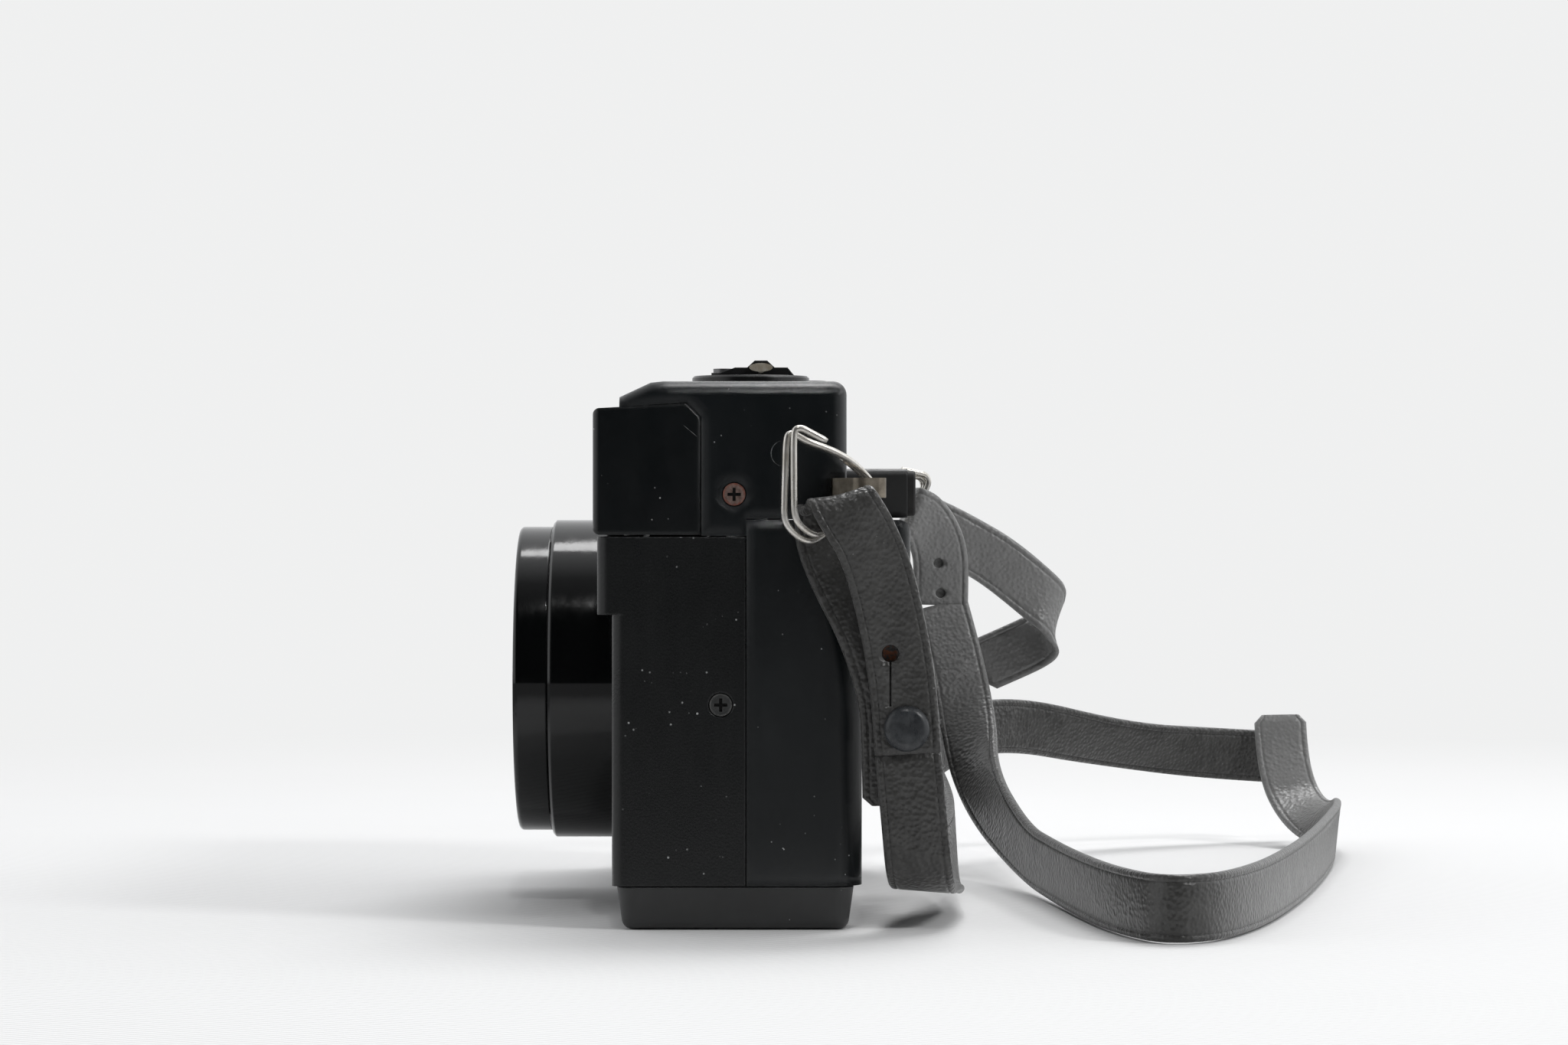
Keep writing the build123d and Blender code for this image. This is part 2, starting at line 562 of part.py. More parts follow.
blade_near = shutter_blade(-1, BLADE_MID + 0.45)
blade_far = shutter_blade(1, BLADE_MID - 0.15)

with BuildPart() as rear_glass:
    lens_element(5.39, SHUTTER_REAR + 2.6, SHUTTER_REAR + 0.8, 0.5, 0.3)

# Finder: eyepiece housing, its rubber rim, and the glass at both ends

with BuildPart() as eyepiece_housing:
    block(EYE_X - EYE_WIDTH / 2, EYE_X + EYE_WIDTH / 2, TOP_REAR, EYE_REAR - 1.2, EYE_FOOT, EYE_TOP)
    eye_edges = eyepiece_housing.edges().filter_by(Axis.Y)
    fillet(eye_edges, 1.2)
    cut_block(EYE_X - 5.5, EYE_X + 5.5, TOP_REAR - 1, EYE_REAR, EYE_FOOT + 1.4, EYE_TOP - 1.4)

with BuildPart() as eyepiece_rim:
    face = Plane(origin=(EYE_X, EYE_REAR - 1.2, (EYE_FOOT + EYE_TOP) / 2), x_dir=(1, 0, 0), z_dir=(0, 1, 0))
    with BuildSketch(face):
        RectangleRounded(EYE_WIDTH - 0.6, EYE_TOP - EYE_FOOT - 0.6, 1.2)
        RectangleRounded(11.0, EYE_TOP - EYE_FOOT - 2.8, 1.2, mode=Mode.SUBTRACT)
    extrude(amount=1.2)
    fillet(eyepiece_rim.edges().filter_by(lambda e: e.center().Y > EYE_REAR - 0.01), 0.4)

with BuildPart() as finder_lenses:
    block(EYE_X - 5.49, EYE_X + 5.49, EYE_REAR - 4.4, EYE_REAR - 2.4, EYE_FOOT + 1.41, EYE_TOP - 1.41)
    block(EYE_X - 5.03, EYE_X + 5.03, PANEL_FRONT + 5.0, PANEL_FRONT + 6.6, EYE_FOOT + 1.92, EYE_TOP + 3.98)

with BuildPart() as finder_tunnel:
    block(EYE_X - 6.6, EYE_X + 6.6, PANEL_FRONT + WALL + 0.1, TOP_REAR - WALL, EYE_FOOT + 1.0, EYE_TOP + 5.0)
    cut_block(EYE_X - 5.05, EYE_X + 5.05, PANEL_FRONT, TOP_REAR, EYE_FOOT + 1.9, EYE_TOP + 4.0)

# Flash: reflector, tube and capacitor; light sensor; circuit board

FLASH_X = WINDOWS["flash"][0]
TUBE_RADIUS = 1.2
with BuildPart() as flash_reflector:
    block(
        FLASH_X - 11.0, FLASH_X + 11.0, PANEL_FRONT + WALL + 0.1, PANEL_FRONT + 9.0,
        WINDOW_Z - 6.0, WINDOW_Z + 6.0)
    with BuildSketch(Plane.YZ.offset(FLASH_X - 10.2)):
        with Locations((PANEL_FRONT + WALL, WINDOW_Z)):
            Ellipse(6.0, 5.2)
    extrude(amount=20.4, mode=Mode.SUBTRACT)
    with BuildSketch(Plane.YZ.offset(FLASH_X - 12)):
        with Locations((PANEL_FRONT + 5.6, WINDOW_Z)):
            Circle(TUBE_RADIUS + 0.01)
    extrude(amount=24, mode=Mode.SUBTRACT)
with BuildPart() as flash_tube:
    with BuildSketch(Plane.YZ.offset(FLASH_X - 11.4)):
        with Locations((PANEL_FRONT + 5.6, WINDOW_Z)):
            Circle(TUBE_RADIUS)
    extrude(amount=22.8)
with BuildPart() as flash_capacitor:
    with BuildSketch(Plane.YZ.offset(-18.0)):
        with Locations((-11.4, 65.0)):
            Circle(5.6)
    extrude(amount=30.0)

with BuildPart() as light_sensor:
    lens_disc(2.4, PANEL_FRONT + 3.4, PANEL_FRONT + WALL + 0.05, WINDOWS["sensor"][0], WINDOW_Z)

BOARD_Z = 72.6
with BuildPart() as circuit_board:
    block(-58.0, 34.0, -3.0, 12.6, BOARD_Z, BOARD_Z + 1.2)
    block(-56.0, -50.0, -2.6, -0.6, BOARD_Z - 3.0, BOARD_Z)
    for x in (-8.0, 4.0):
        block(x, x + 8.0, 0.0, 7.0, BOARD_Z - 1.8, BOARD_Z)
    for x, y, radius in ((LEVER_X, LEVER_Y, 3.2), (BUTTON_X, BUTTON_Y, 5.0)):
        upright(x, y, radius, BOARD_Z - 4, BOARD_Z + 3, mode=Mode.SUBTRACT)

# Two AA cells, upright, and their contacts

with BuildPart() as batteries:
    for x in CELL_XS:
        upright(x, CELL_Y, CELL_D / 2, CELL_FOOT, CELL_FOOT + CELL_LENGTH - 1.4)
        upright(x, CELL_Y, 2.7, CELL_FOOT + CELL_LENGTH - 1.4, CELL_FOOT + CELL_LENGTH)
with BuildPart() as battery_contacts:
    block(CELL_XS[0] - 4.0, CELL_XS[1] + 4.0, CELL_Y - 3.0, CELL_Y + 3.0, CHASSIS_TOP, CHASSIS_TOP + 0.5)
    for x in CELL_XS:
        upright(x, CELL_Y, 3.0, CELL_FOOT + CELL_LENGTH + 0.02, CHASSIS_TOP)
with BuildPart() as battery_bridge:
    block(CELL_XS[0] - 5.0, CELL_XS[1] + 5.0, CELL_Y - 3.0, CELL_Y + 3.0, DOOR_PLATE, DOOR_PLATE + 0.5)
    for x in CELL_XS:
        upright(x, CELL_Y, 2.6, DOOR_PLATE, CELL_FOOT - 0.02)

# Rewind: shaft with its fork, knob, folding crank with its grip, and the latch bar that the knob lifts

FORK_TIP = ROOM_TOP - LATCH_LIFT
FORK_TOP = FORK_TIP + 2.4
LATCH_TOP = CHASSIS_TOP + 1.6
KNOB_FOOT = BODY_TOP + LIFT_ROOM
KNOB_FLOOR = KNOB_FOOT + KNOB_BASE
with BuildPart() as rewind_shaft:
    upright(REWIND_X, REWIND_Y, SHAFT_RADIUS, FORK_TOP, KNOB_FOOT)
    block(REWIND_X - 2.2, REWIND_X + 2.2, REWIND_Y - 0.6, REWIND_Y + 0.6, FORK_TIP, FORK_TOP)
    upright(REWIND_X, REWIND_Y, 3.6, CHASSIS_TOP + 0.05, LATCH_TOP - 1.05)
    upright(REWIND_X, REWIND_Y, 3.6, LATCH_TOP + 0.05, LATCH_TOP + 0.6)

with BuildPart() as door_latch:
    block(LATCH_X0, LATCH_X1, LATCH_Y0, LATCH_Y1, LATCH_FOOT, LATCH_TOP)
    block(REWIND_X, LATCH_X1, LATCH_Y0 - 3.2, LATCH_Y1 - 1.6, LATCH_TOP - 1.0, LATCH_TOP)
    upright(REWIND_X, REWIND_Y, 4.6, LATCH_TOP - 1.0, LATCH_TOP)
    upright(REWIND_X, REWIND_Y, SHAFT_RADIUS + RUN, LATCH_TOP - 2, LATCH_TOP + 1, mode=Mode.SUBTRACT)

CHEEK = 4.6
SLOT = 2.3
ARM_HALF = 2.1
PIN_RADIUS = 0.59
GRIP_Y = CRANK_PIVOT_Y - 5.45
GRIP_PIN = 0.7
with BuildPart() as rewind_knob:
    upright(REWIND_X, REWIND_Y, KNOB_RADIUS, KNOB_FOOT, KNOB_FLOOR)
    chamfer(rewind_knob.edges().filter_by(GeomType.CIRCLE).sort_by(Axis.Z)[-1], 0.3)
    side_profile(
        [(-3.9, KNOB_FLOOR - 0.2), (-0.4, KNOB_TOP), (7.2, KNOB_TOP), (8.3, KNOB_FLOOR - 0.2)],
        REWIND_X - CHEEK,
        REWIND_X + CHEEK,
    )
    side_profile(
        [
            (CRANK_PIVOT_Y - 2.1, KNOB_FLOOR),
            (CRANK_PIVOT_Y - 2.1, 80.2),
            (CRANK_PIVOT_Y - 0.9, 81.3),
            (CRANK_PIVOT_Y + 0.9, 81.3),
            (CRANK_PIVOT_Y + 2.1, 80.2),
            (CRANK_PIVOT_Y + 2.1, KNOB_FLOOR),
        ],
        REWIND_X - CHEEK,
        REWIND_X + CHEEK,
    )
    cut_block(REWIND_X - SLOT, REWIND_X + SLOT, -6.0, 9.0, KNOB_FLOOR, 83)
    with BuildSketch(Plane.YZ.offset(REWIND_X - 5)):
        with Locations((CRANK_PIVOT_Y, CRANK_PIVOT_Z)):
            Circle(PIN_RADIUS + 0.01)
    extrude(amount=10, mode=Mode.SUBTRACT)

with BuildPart() as crank_arm:
    with BuildSketch(Plane.YZ.offset(REWIND_X - ARM_HALF)):
        with Locations((CRANK_PIVOT_Y, CRANK_PIVOT_Z)):
            Circle(0.9)
        with BuildLine():
            Polyline(
                (CRANK_PIVOT_Y, CRANK_PIVOT_Z + 0.7),
                (0.9, 79.6),
                (-3.85, 79.6),
                (-3.85, 79.2),
                (CRANK_PIVOT_Y, 79.2),
                close=True,
            )
        make_face()
        with Locations((CRANK_PIVOT_Y, CRANK_PIVOT_Z)):
            Circle(PIN_RADIUS + RUN, mode=Mode.SUBTRACT)
    extrude(amount=2 * ARM_HALF)
    upright(REWIND_X, GRIP_Y, GRIP_PIN + RUN, 78, 82, mode=Mode.SUBTRACT)

with BuildPart() as crank_pin:
    with BuildSketch(Plane.YZ.offset(REWIND_X - CHEEK)):
        with Locations((CRANK_PIVOT_Y, CRANK_PIVOT_Z)):
            Circle(PIN_RADIUS)
    extrude(amount=2 * CHEEK)
    with BuildSketch(Plane.YZ.offset(REWIND_X + CHEEK)):
        with Locations((CRANK_PIVOT_Y, CRANK_PIVOT_Z + 0.2)):
            Ellipse(1.7, 0.62)
    extrude(amount=0.6)

with BuildPart() as crank_grip:
    upright(REWIND_X, GRIP_Y, 1.5, 79.63, 80.25)
    upright(REWIND_X, GRIP_Y, GRIP_PIN, 79.2, 79.7)

# Advance lever, spool, sprocket and counter

LEVER_FOOT = BODY_TOP + 0.35
LEVER_THICK = 1.3
LEVER_REACH = 15.5
LEVER_REST = 25.0
with BuildPart() as advance_lever:
    with BuildSketch(Plane.XY.offset(LEVER_FOOT)):
        with Locations(Location((LEVER_X, LEVER_Y), LEVER_REST)):
            Circle(6.0)
            with Locations((LEVER_REACH / 2, 0)):
                Trapezoid(6.6, LEVER_REACH, 83, rotation=-90)
            with Locations((LEVER_REACH, 0)):
                Circle(2.6)
    extrude(amount=LEVER_THICK)
    upright(LEVER_X, LEVER_Y, 4.0, LEVER_FOOT, LEVER_FOOT + 1.9)
    fillet(advance_lever.edges().filter_by(GeomType.CIRCLE).sort_by(Axis.Z)[-1], 0.4)
    upright(
        LEVER_X + LEVER_REACH * math.cos(math.radians(LEVER_REST)),
        LEVER_Y + LEVER_REACH * math.sin(math.radians(LEVER_REST)),
        2.3,
        LEVER_FOOT,
        LEVER_FOOT + 2.4,
    )
    upright(LEVER_X, LEVER_Y, LEVER_SHAFT, CHASSIS_TOP + 0.02, LEVER_FOOT + 0.1)

with BuildPart() as counter_dial:
    upright(COUNTER_X, COUNTER_Y, 4.4, BODY_TOP - WALL - 1.3, BODY_TOP - WALL - 0.5)
    upright(COUNTER_X, COUNTER_Y, 1.0, BOARD_Z + 1.22, BODY_TOP - WALL - 1.2)
with BuildPart() as counter_window:
    upright(COUNTER_X, COUNTER_Y, 2.58, BODY_TOP - WALL, BODY_TOP)

SPOOL_FOOT = ROOM_FOOT + 0.05
SPOOL_TOP = ROOM_TOP - 0.05
SLOTS = 6
with BuildPart() as takeup_spool:
    upright(SPOOL_X, SPOOL_Y, SPOOL_RADIUS, SPOOL_FOOT + 1, SPOOL_TOP - 1)
    for z in (SPOOL_FOOT, SPOOL_TOP - 1.2):
        upright(SPOOL_X, SPOOL_Y, SPOOL_RADIUS + 1.8, z, z + 1.2)
    upright(SPOOL_X, SPOOL_Y, 2.5, SPOOL_TOP - 0.1, CHASSIS_TOP)
    with Locations((SPOOL_X, SPOOL_Y, LENS_Z)):
        with PolarLocations(SPOOL_RADIUS, SLOTS):
            Box(2.0, 1.4, 30.0, mode=Mode.SUBTRACT)

TEETH = 8
TRACKS = (LENS_Z - 14.2, LENS_Z + 14.2)
with BuildPart() as film_sprocket:
    upright(SPROCKET_X, SPROCKET_Y, SPROCKET_RADIUS - 1.6, ROOM_FOOT + 0.05, ROOM_TOP - 0.05)
    upright(SPROCKET_X, SPROCKET_Y, 1.6, CHASSIS_FOOT + 0.9, CHASSIS_TOP)
    for z in TRACKS:
        upright(SPROCKET_X, SPROCKET_Y, SPROCKET_RADIUS - 0.8, z - 1.6, z + 1.6)
        with Locations((SPROCKET_X, SPROCKET_Y, z)):
            with PolarLocations(SPROCKET_RADIUS - 1.0, TEETH):
                Box(1.8, 1.2, 1.6)

# Shutter button in its collar, and the rewind release in the base

COVER_INSIDE = BODY_TOP - WALL
with BuildPart() as button_collar:
    upright(BUTTON_X, BUTTON_Y, 6.0, BODY_TOP, BODY_TOP + 1.0)
    chamfer(button_collar.edges().filter_by(GeomType.CIRCLE).sort_by(Axis.Z)[-1], 0.5)
    upright(BUTTON_X, BUTTON_Y, 4.28, COVER_INSIDE, BODY_TOP + 0.1)
    upright(BUTTON_X, BUTTON_Y, BUTTON_RADIUS + RUN, COVER_INSIDE - 1, BODY_TOP + 2, mode=Mode.SUBTRACT)

with BuildPart() as shutter_button:
    upright(BUTTON_X, BUTTON_Y, BUTTON_RADIUS, COVER_INSIDE - 0.8, BODY_TOP + 1.8)
    fillet(shutter_button.edges().filter_by(GeomType.CIRCLE).sort_by(Axis.Z)[-1], 0.5)
    upright(BUTTON_X, BUTTON_Y, 4.2, COVER_INSIDE - 1.3, COVER_INSIDE - 0.02)
    upright(BUTTON_X, BUTTON_Y, 1.3, BOARD_Z - 2.5, COVER_INSIDE - 1.2)

with BuildPart() as rewind_release_button:
    upright(RELEASE_X, RELEASE_Y, RELEASE_RADIUS, 0.5, 2.6)
    upright(RELEASE_X, RELEASE_Y, 3.4, WALL + 0.02, WALL + 0.9)
    upright(RELEASE_X, RELEASE_Y, 1.3, WALL + 0.8, CHASSIS_FOOT - 0.8)

# Cross-head screws: the two of the top cover, the one in the near side, and those of the base


def screw(origin, direction, length):
    """A sunk head with a cross recess and a plain shank, its face at origin."""
    seat = Plane(origin=origin, z_dir=direction)
    with BuildPart() as fastener:
        with BuildSketch(seat.offset(-0.15)):
            Circle(SCREW_HEAD)
        extrude(amount=0.15 - SCREW_DEPTH)
        with BuildSketch(seat.offset(-0.15)):
            Rectangle(1.9, 0.45)
            Rectangle(0.45, 1.9)
        extrude(amount=-0.45, mode=Mode.SUBTRACT)
        with BuildSketch(seat.offset(-SCREW_DEPTH)):
            Circle(SCREW_SHANK)
        extrude(amount=-length)
    return fastener.part


with BuildPart() as cover_screws:
    for side in (-1, 1):
        add(screw((side * HALF, SCREW_TOP[0], SCREW_TOP[1]), (side, 0, 0), 1.6))
with BuildPart() as body_screws:
    add(screw((HALF, SCREW_SIDE[0], SCREW_SIDE[1]), (1, 0, 0), 2.4))
    for x, y in BASE_SCREWS:
        add(screw((x, y, 0), (0, 0, -1), 7.0))

# Strap lugs: a strip bent round each rear corner of the top cover


with BuildPart() as strap_lugs:
    for side in (-1, 1):
        with BuildSketch(Plane.XY.offset(LUG_Z - LUG_HEIGHT / 2)):
            with BuildLine():
                FilletPolyline(
                    (side * 61.9, 13.72),
                    (side * 64.5, 15.35),
                    (side * 67.4, 17.2),
                    (side * 66.2, 20.7),
                    (side * 60.2, 20.7),
                    (side * 59.2, TOP_REAR),
                    radius=1.2,
                )
            trace(line_width=LUG_THICK)
        extrude(amount=LUG_HEIGHT)
    cut_block(-HALF + 1.0, HALF - 1.0, 0, TOP_REAR, LUG_Z - 5, LUG_Z + 5)

# Split rings: one wire wound round a triangle, drawn in a frame whose first axis points
# along the ring, the second upward in its plane and the third out of its plane


def rounded_path(points, corners):
    """A path of straight runs joined by arcs; corners holds the radius at each inner point."""
    with BuildLine() as path:
        start = Vector(*points[0])
        for before, here, after, corner in zip(points, points[1:], points[2:], corners):
            here = Vector(*here)
            inward = (Vector(*before) - here).normalized()
            outward = (Vector(*after) - here).normalized()
            half_angle = math.radians(inward.get_angle(outward)) / 2
            cut = corner / math.tan(half_angle)
            middle = here + (inward + outward).normalized() * (corner / math.sin(half_angle) - corner)
            Line(start, here + inward * cut)
            ThreePointArc(here + inward * cut, middle, here + outward * cut)
            start = here + outward * cut
        Line(start, Vector(*points[-1]))
    return path


def split_ring(corner_c, along, normal, turn):
    """The wound wire: two turns and one more long side, each turn a pitch further out."""
    a = (RING_REACH, RING_HALF_BASE)
    b = (RING_REACH, -RING_HALF_BASE)
    c = (RING_APEX, 0.0)
    stub = (RING_REACH - 5.6, RING_HALF_BASE - 1.3)
    foot = (RING_REACH - 3.2, -RING_HALF_BASE + 1.65)
    levels = [
        (foot, -1), (b, -1), (a, -1), (c, 0), (b, 0), (a, 0), (c, 1), (b, 1), (a, 1), (stub, 1.4),
    ]
    points = []
    for (h, up), level in levels:
        reach = h * math.cos(turn) - up * math.sin(turn)
        rise = h * math.sin(turn) + up * math.cos(turn)
        points.append(corner_c + along * reach + normal * (level * WIRE_PITCH) + Vector(0, 0, rise))
    corners = [RING_APEX_CORNER if place == c else RING_CORNER for place, level in levels[1:-1]]
    path = rounded_path([(p.X, p.Y, p.Z) for p in points], corners)
    with BuildPart() as ring:
        with BuildSketch(path.line ^ 0):
            Circle(WIRE)
        sweep(path=path.line)
    return ring


NEAR_C = Vector(62.5, 18.6, 61.85)
NEAR_ALONG = Vector(0.53, -0.848, 0).normalized()
NEAR_NORMAL = Vector(0.848, 0.53, 0).normalized()
NEAR_TURN = math.radians(5.6)
near_ring = split_ring(NEAR_C, NEAR_ALONG, NEAR_NORMAL, NEAR_TURN)

FAR_ALONG = Vector(-0.34, 0.94, 0).normalized()
FAR_NORMAL = Vector(0.94, 0.34, 0).normalized()
FAR_TURN = math.radians(-24)
FAR_PIVOT = Vector(-63.4, 20.7, LUG_Z)
FAR_REACH = 3.8
FAR_C = FAR_PIVOT - FAR_ALONG * (FAR_REACH * math.cos(FAR_TURN))
FAR_C -= Vector(0, 0, FAR_REACH * math.sin(FAR_TURN))
far_ring = split_ring(FAR_C, FAR_ALONG, FAR_NORMAL, FAR_TURN)

# Strap: bands lofted through stations of (centre, width direction, thickness)


def band(stations, first=None, last=None, holes=()):
    """A flat strap through its stations; first and last set the run of travel at the two ends.

    Each hole is (middle, direction, radius, half its depth).
    """
    centres = [Vector(*place) for place, across, thick in stations]
    with BuildPart() as strip:
        for i, (place, across, thick) in enumerate(stations):
            travel = (centres[min(i + 1, len(centres) - 1)] - centres[max(i - 1, 0)]).normalized()
            if i == 0 and first:
                travel = first
            if i == len(centres) - 1 and last:
                travel = last
            face = Vector(*across).cross(travel).normalized()
            with BuildSketch(Plane(origin=centres[i], x_dir=travel.cross(face), z_dir=travel)):
                Rectangle(STRAP_WIDTH, thick)
        loft(ruled=True)
        for origin, direction, radius, depth in holes:
            with BuildSketch(Plane(origin=origin, z_dir=direction)) as hole:
                Circle(radius)
            extrude(hole.sketch, amount=depth, both=True, mode=Mode.SUBTRACT)
    return strip


def route(name, corners):
    """Stations along straight runs and tangent arcs; corners are (centre, width direction)."""
    centres = [Vector(*place) for place, across in corners]
    across = [Vector(*direction).normalized() for place, direction in corners]
    stations = [(centres[0], across[0])]
    radii = []
    for i in range(1, len(centres) - 1):
        run_in = centres[i] - centres[i - 1]
        run_out = centres[i + 1] - centres[i]
        before, after = run_in.normalized(), run_out.normalized()
        turn = math.radians(before.get_angle(after))
        cut = 0.45 * min(run_in.length, run_out.length)
        radius = cut / math.tan(turn / 2)
        radii.append(round(radius, 1))
        side = (after - before * math.cos(turn)).normalized()
        start = centres[i] - before * cut
        middle = (stations[-1][0] + start) / 2
        stations.append((middle, (across[i - 1] + across[i]).normalized()))
        steps = 4 if turn > 0.6 else 2
        for k in range(steps + 1):
            angle = turn * k / steps
            point = start + before * (radius * math.sin(angle)) + side * (radius * (1 - math.cos(angle)))
            stations.append((point, across[i]))
    stations.append((centres[-1], across[-1]))
    print(name, "bend radii mm", radii)
    return [((p.X, p.Y, p.Z), (d.X, d.Y, d.Z), STRAP_THICK) for p, d in stations]


def fold(corner_c, along, normal, turn, foot, head, places, levels):
    """Stations of the strap's turn round one side of a ring, from its inner to its outer leaf."""
    def spot(h, up, level):
        reach = h * math.cos(turn) - up * math.sin(turn)
        rise = h * math.sin(turn) + up * math.cos(turn)
        return corner_c + along * reach + normal * level + Vector(0, 0, rise)

    across = (spot(*head, 0) - spot(*foot, 0)).normalized()
    middle = spot(*foot, 0) + across * places
    inward = normal.cross(across).normalized()
    if (spot(3.0, 0, 0) - middle).dot(inward) < 0:
        inward = -inward
    radius = WIRE + 0.05 + FOLD_THICK / 2
    turns = [(levels[0], angle, 0) for angle in (180, 150, 120, 90)]
    turns += [(levels[1], angle, 0) for angle in (90, 60, 30, 0)]
    turns = [(levels[0], 180, 1.2)] + turns + [(levels[1], 0, 1.2)]
    stations = []
    for level, angle, drop in turns:
        out = math.cos(math.radians(angle)) * radius + level * WIRE_PITCH
        point = middle + normal * out + inward * (math.sin(math.radians(angle)) * radius - drop)
        stations.append(((point.X, point.Y, point.Z), (across.X, across.Y, across.Z), FOLD_THICK))
    return stations


NEAR_STUD = (65.92, 24.0, 28.8)
FAR_STUD = Vector(-122.6, 97.2, 15.15)
FAR_STUD_OUT = Vector(0.9, 0.43, -0.03).normalized()
STUD_BORE = STUD_SHANK + 0.02
NEAR_FOLD = fold(
    NEAR_C, NEAR_ALONG, NEAR_NORMAL, NEAR_TURN, (RING_APEX, 0), (RING_REACH, -RING_HALF_BASE), 6.4, (0, 1)
)
ACROSS = (0.494, -0.790, -0.363)
ACROSS_MID = (0.37, -0.90, -0.20)
NEAR_JOIN = (64.9, 24.2, 25.2)
NEAR_NEXT = (64.8, 25.0, 17.0)
near_stations = [
    ((63.0, 22.5, 17.8), (0, -1, 0), STRAP_THICK),
    ((63.1, 22.4, 24.0), (0, -1, 0), STRAP_THICK),
    ((63.2, 22.2, 31.2), (0, -1, 0), STRAP_THICK),
    ((63.3, 21.0, 36.5), (0.15, -0.98, -0.08), STRAP_THICK),
    ((63.6, 18.8, 43.4), ACROSS_MID, STRAP_THICK),
    ((63.9, 15.7, 50.3), ACROSS, STRAP_THICK),
    ((64.2, 14.2, 56.0), ACROSS, 1.2),
]
near_stations += NEAR_FOLD
near_stations += [
    ((66.9, 16.6, 56.4), ACROSS, 1.3),
    ((66.3, 20.0, 50.6), ACROSS_MID, STRAP_THICK),
    ((65.5, 22.4, 41.1), (0.1, -0.99, -0.05), STRAP_THICK),
    ((65.1, 23.6, 33.3), (0, -1, 0), STRAP_THICK),
    (NEAR_JOIN, (0, -1, 0), STRAP_THICK),
]
near_travel = (Vector(*NEAR_NEXT) - Vector(*NEAR_JOIN)).normalized()
strap_near_end = band(
    near_stations,
    last=near_travel,
    holes=((NEAR_STUD, (1, 0, 0), STUD_BORE, 5.0), ((63.4, 20.2, 39.4), (1, 0, 0), 1.3, 1.6)),
)

free_near_corners = [
    (NEAR_JOIN, (0, -1, 0)),
    (NEAR_NEXT, (0, -1, 0)),
    ((63.0, 26.0, 5.8), (0, -1, 0)),
    ((45.0, 28.0, 5.6), (0, -1, 0.2)),
    ((22.5, 31.6, 7.5), (0, -0.2, 1)),
    ((1.5, 32.9, 10.4), (0, 0, 1)),
    ((-37.5, 31.2, 15.0), (0, 0, 1)),
    ((-60.0, 30.6, 19.5), (0, 0, 1)),
    ((-78.0, 43.1, 24.0), (0, 0, 1)),
    ((-102.5, 66.1, 18.3), (0.5, 0.5, 0.9)),
    ((-117.5, 86.6, 15.9), (0.15, 0.1, 1)),
    ((-124.2, 100.6, 14.9), (0, 0, 1)),
]
strap_free_near = band(
    route("strap_free_near", free_near_corners),
    first=near_travel,
    holes=((FAR_STUD, FAR_STUD_OUT, STUD_BORE, 3.0),),
)

FAR_JOIN = (-67.5, 33.3, 43.9)
FAR_BEFORE = (-65.2, 35.6, 35.5)
free_far_corners = [
    ((-115.5, 96.3, 23.1), (0, 1, 0)),
    ((-114.0, 96.4, 14.1), (0, 1, 0)),
    ((-106.5, 99.1, 6.0), (0, 1, 0.15)),
    ((-84.5, 102.8, 5.2), (0, 0.15, 1)),
    ((-47.5, 97.0, 4.9), (0, 0, 1)),
    ((6.5, 87.0, 4.9), (0, 0, 1)),
    ((48.5, 77.5, 4.9), (0, 0, 1)),
    ((70.0, 71.0, 4.9), (0, 0, 1)),
    ((82.5, 65.0, 4.9), (0, 0, 1)),
    ((84.2, 58.2, 4.9), (0, 0, 1)),
    ((74.0, 54.8, 4.9), (0, 0, 1)),
    ((62.0, 52.4, 4.9), (0, 0, 1)),
    ((42.0, 50.0, 4.9), (0, 0, 1)),
    ((20.0, 47.9, 5.0), (0, 0, 1)),
    ((-8.0, 44.5, 6.0), (0, 0, 1)),
    ((-45.0, 38.8, 13.9), (0, 0.5, 0.9)),
    ((-59.5, 37.4, 26.0), (0, 1, 0.3)),
    (FAR_BEFORE, (0, 1, 0)),
    (FAR_JOIN, (0, 1, 0)),
]
far_travel = (Vector(*FAR_JOIN) - Vector(*FAR_BEFORE)).normalized()
strap_free_far = band(route("strap_free_far", free_far_corners), last=far_travel)

FAR_FOLD = fold(
    FAR_C,
    FAR_ALONG,
    FAR_NORMAL,
    FAR_TURN,
    (RING_REACH, -RING_HALF_BASE),
    (RING_REACH, RING_HALF_BASE),
    7.4,
    (-1, 1),
)
far_stations = [
    ((-75.0, 40.4, 33.2), (0, -0.32, 0.95), STRAP_THICK),
    ((-75.1, 46.0, 35.6), (0, -0.32, 0.95), STRAP_THICK),
    ((-75.0, 50.6, 37.8), (-0.2, -0.1, 0.96), STRAP_THICK),
    ((-74.3, 52.4, 39.6), (-0.5, 0.1, 0.85), STRAP_THICK),
    ((-72.8, 53.0, 41.4), (-0.7, 0.3, 0.7), STRAP_THICK),
    ((-71.3, 52.4, 43.2), (-0.5, 0.5, 0.75), STRAP_THICK),
    ((-70.6, 50.8, 45.0), (-0.2, 0.6, 0.8), STRAP_THICK),
    ((-70.2, 43.6, 51.0), (0, 0.6, 0.8), STRAP_THICK),
    ((-69.8, 38.3, 54.1), (0, 0.5, 0.86), STRAP_THICK),
    ((-68.9, 32.8, 57.0), (-0.08, 0.42, 0.9), STRAP_THICK),
]
far_stations += FAR_FOLD
far_stations += [
    ((-65.4, 31.8, 56.6), (-0.1, 0.62, 0.78), 1.3),
    ((-66.3, 33.2, 53.0), (0, 0.86, 0.5), STRAP_THICK),
    ((-67.2, 33.4, 48.6), (0, 1, 0.1), STRAP_THICK),
    (FAR_JOIN, (0, 1, 0), STRAP_THICK),
]
strap_far_end = band(far_stations, last=-far_travel)

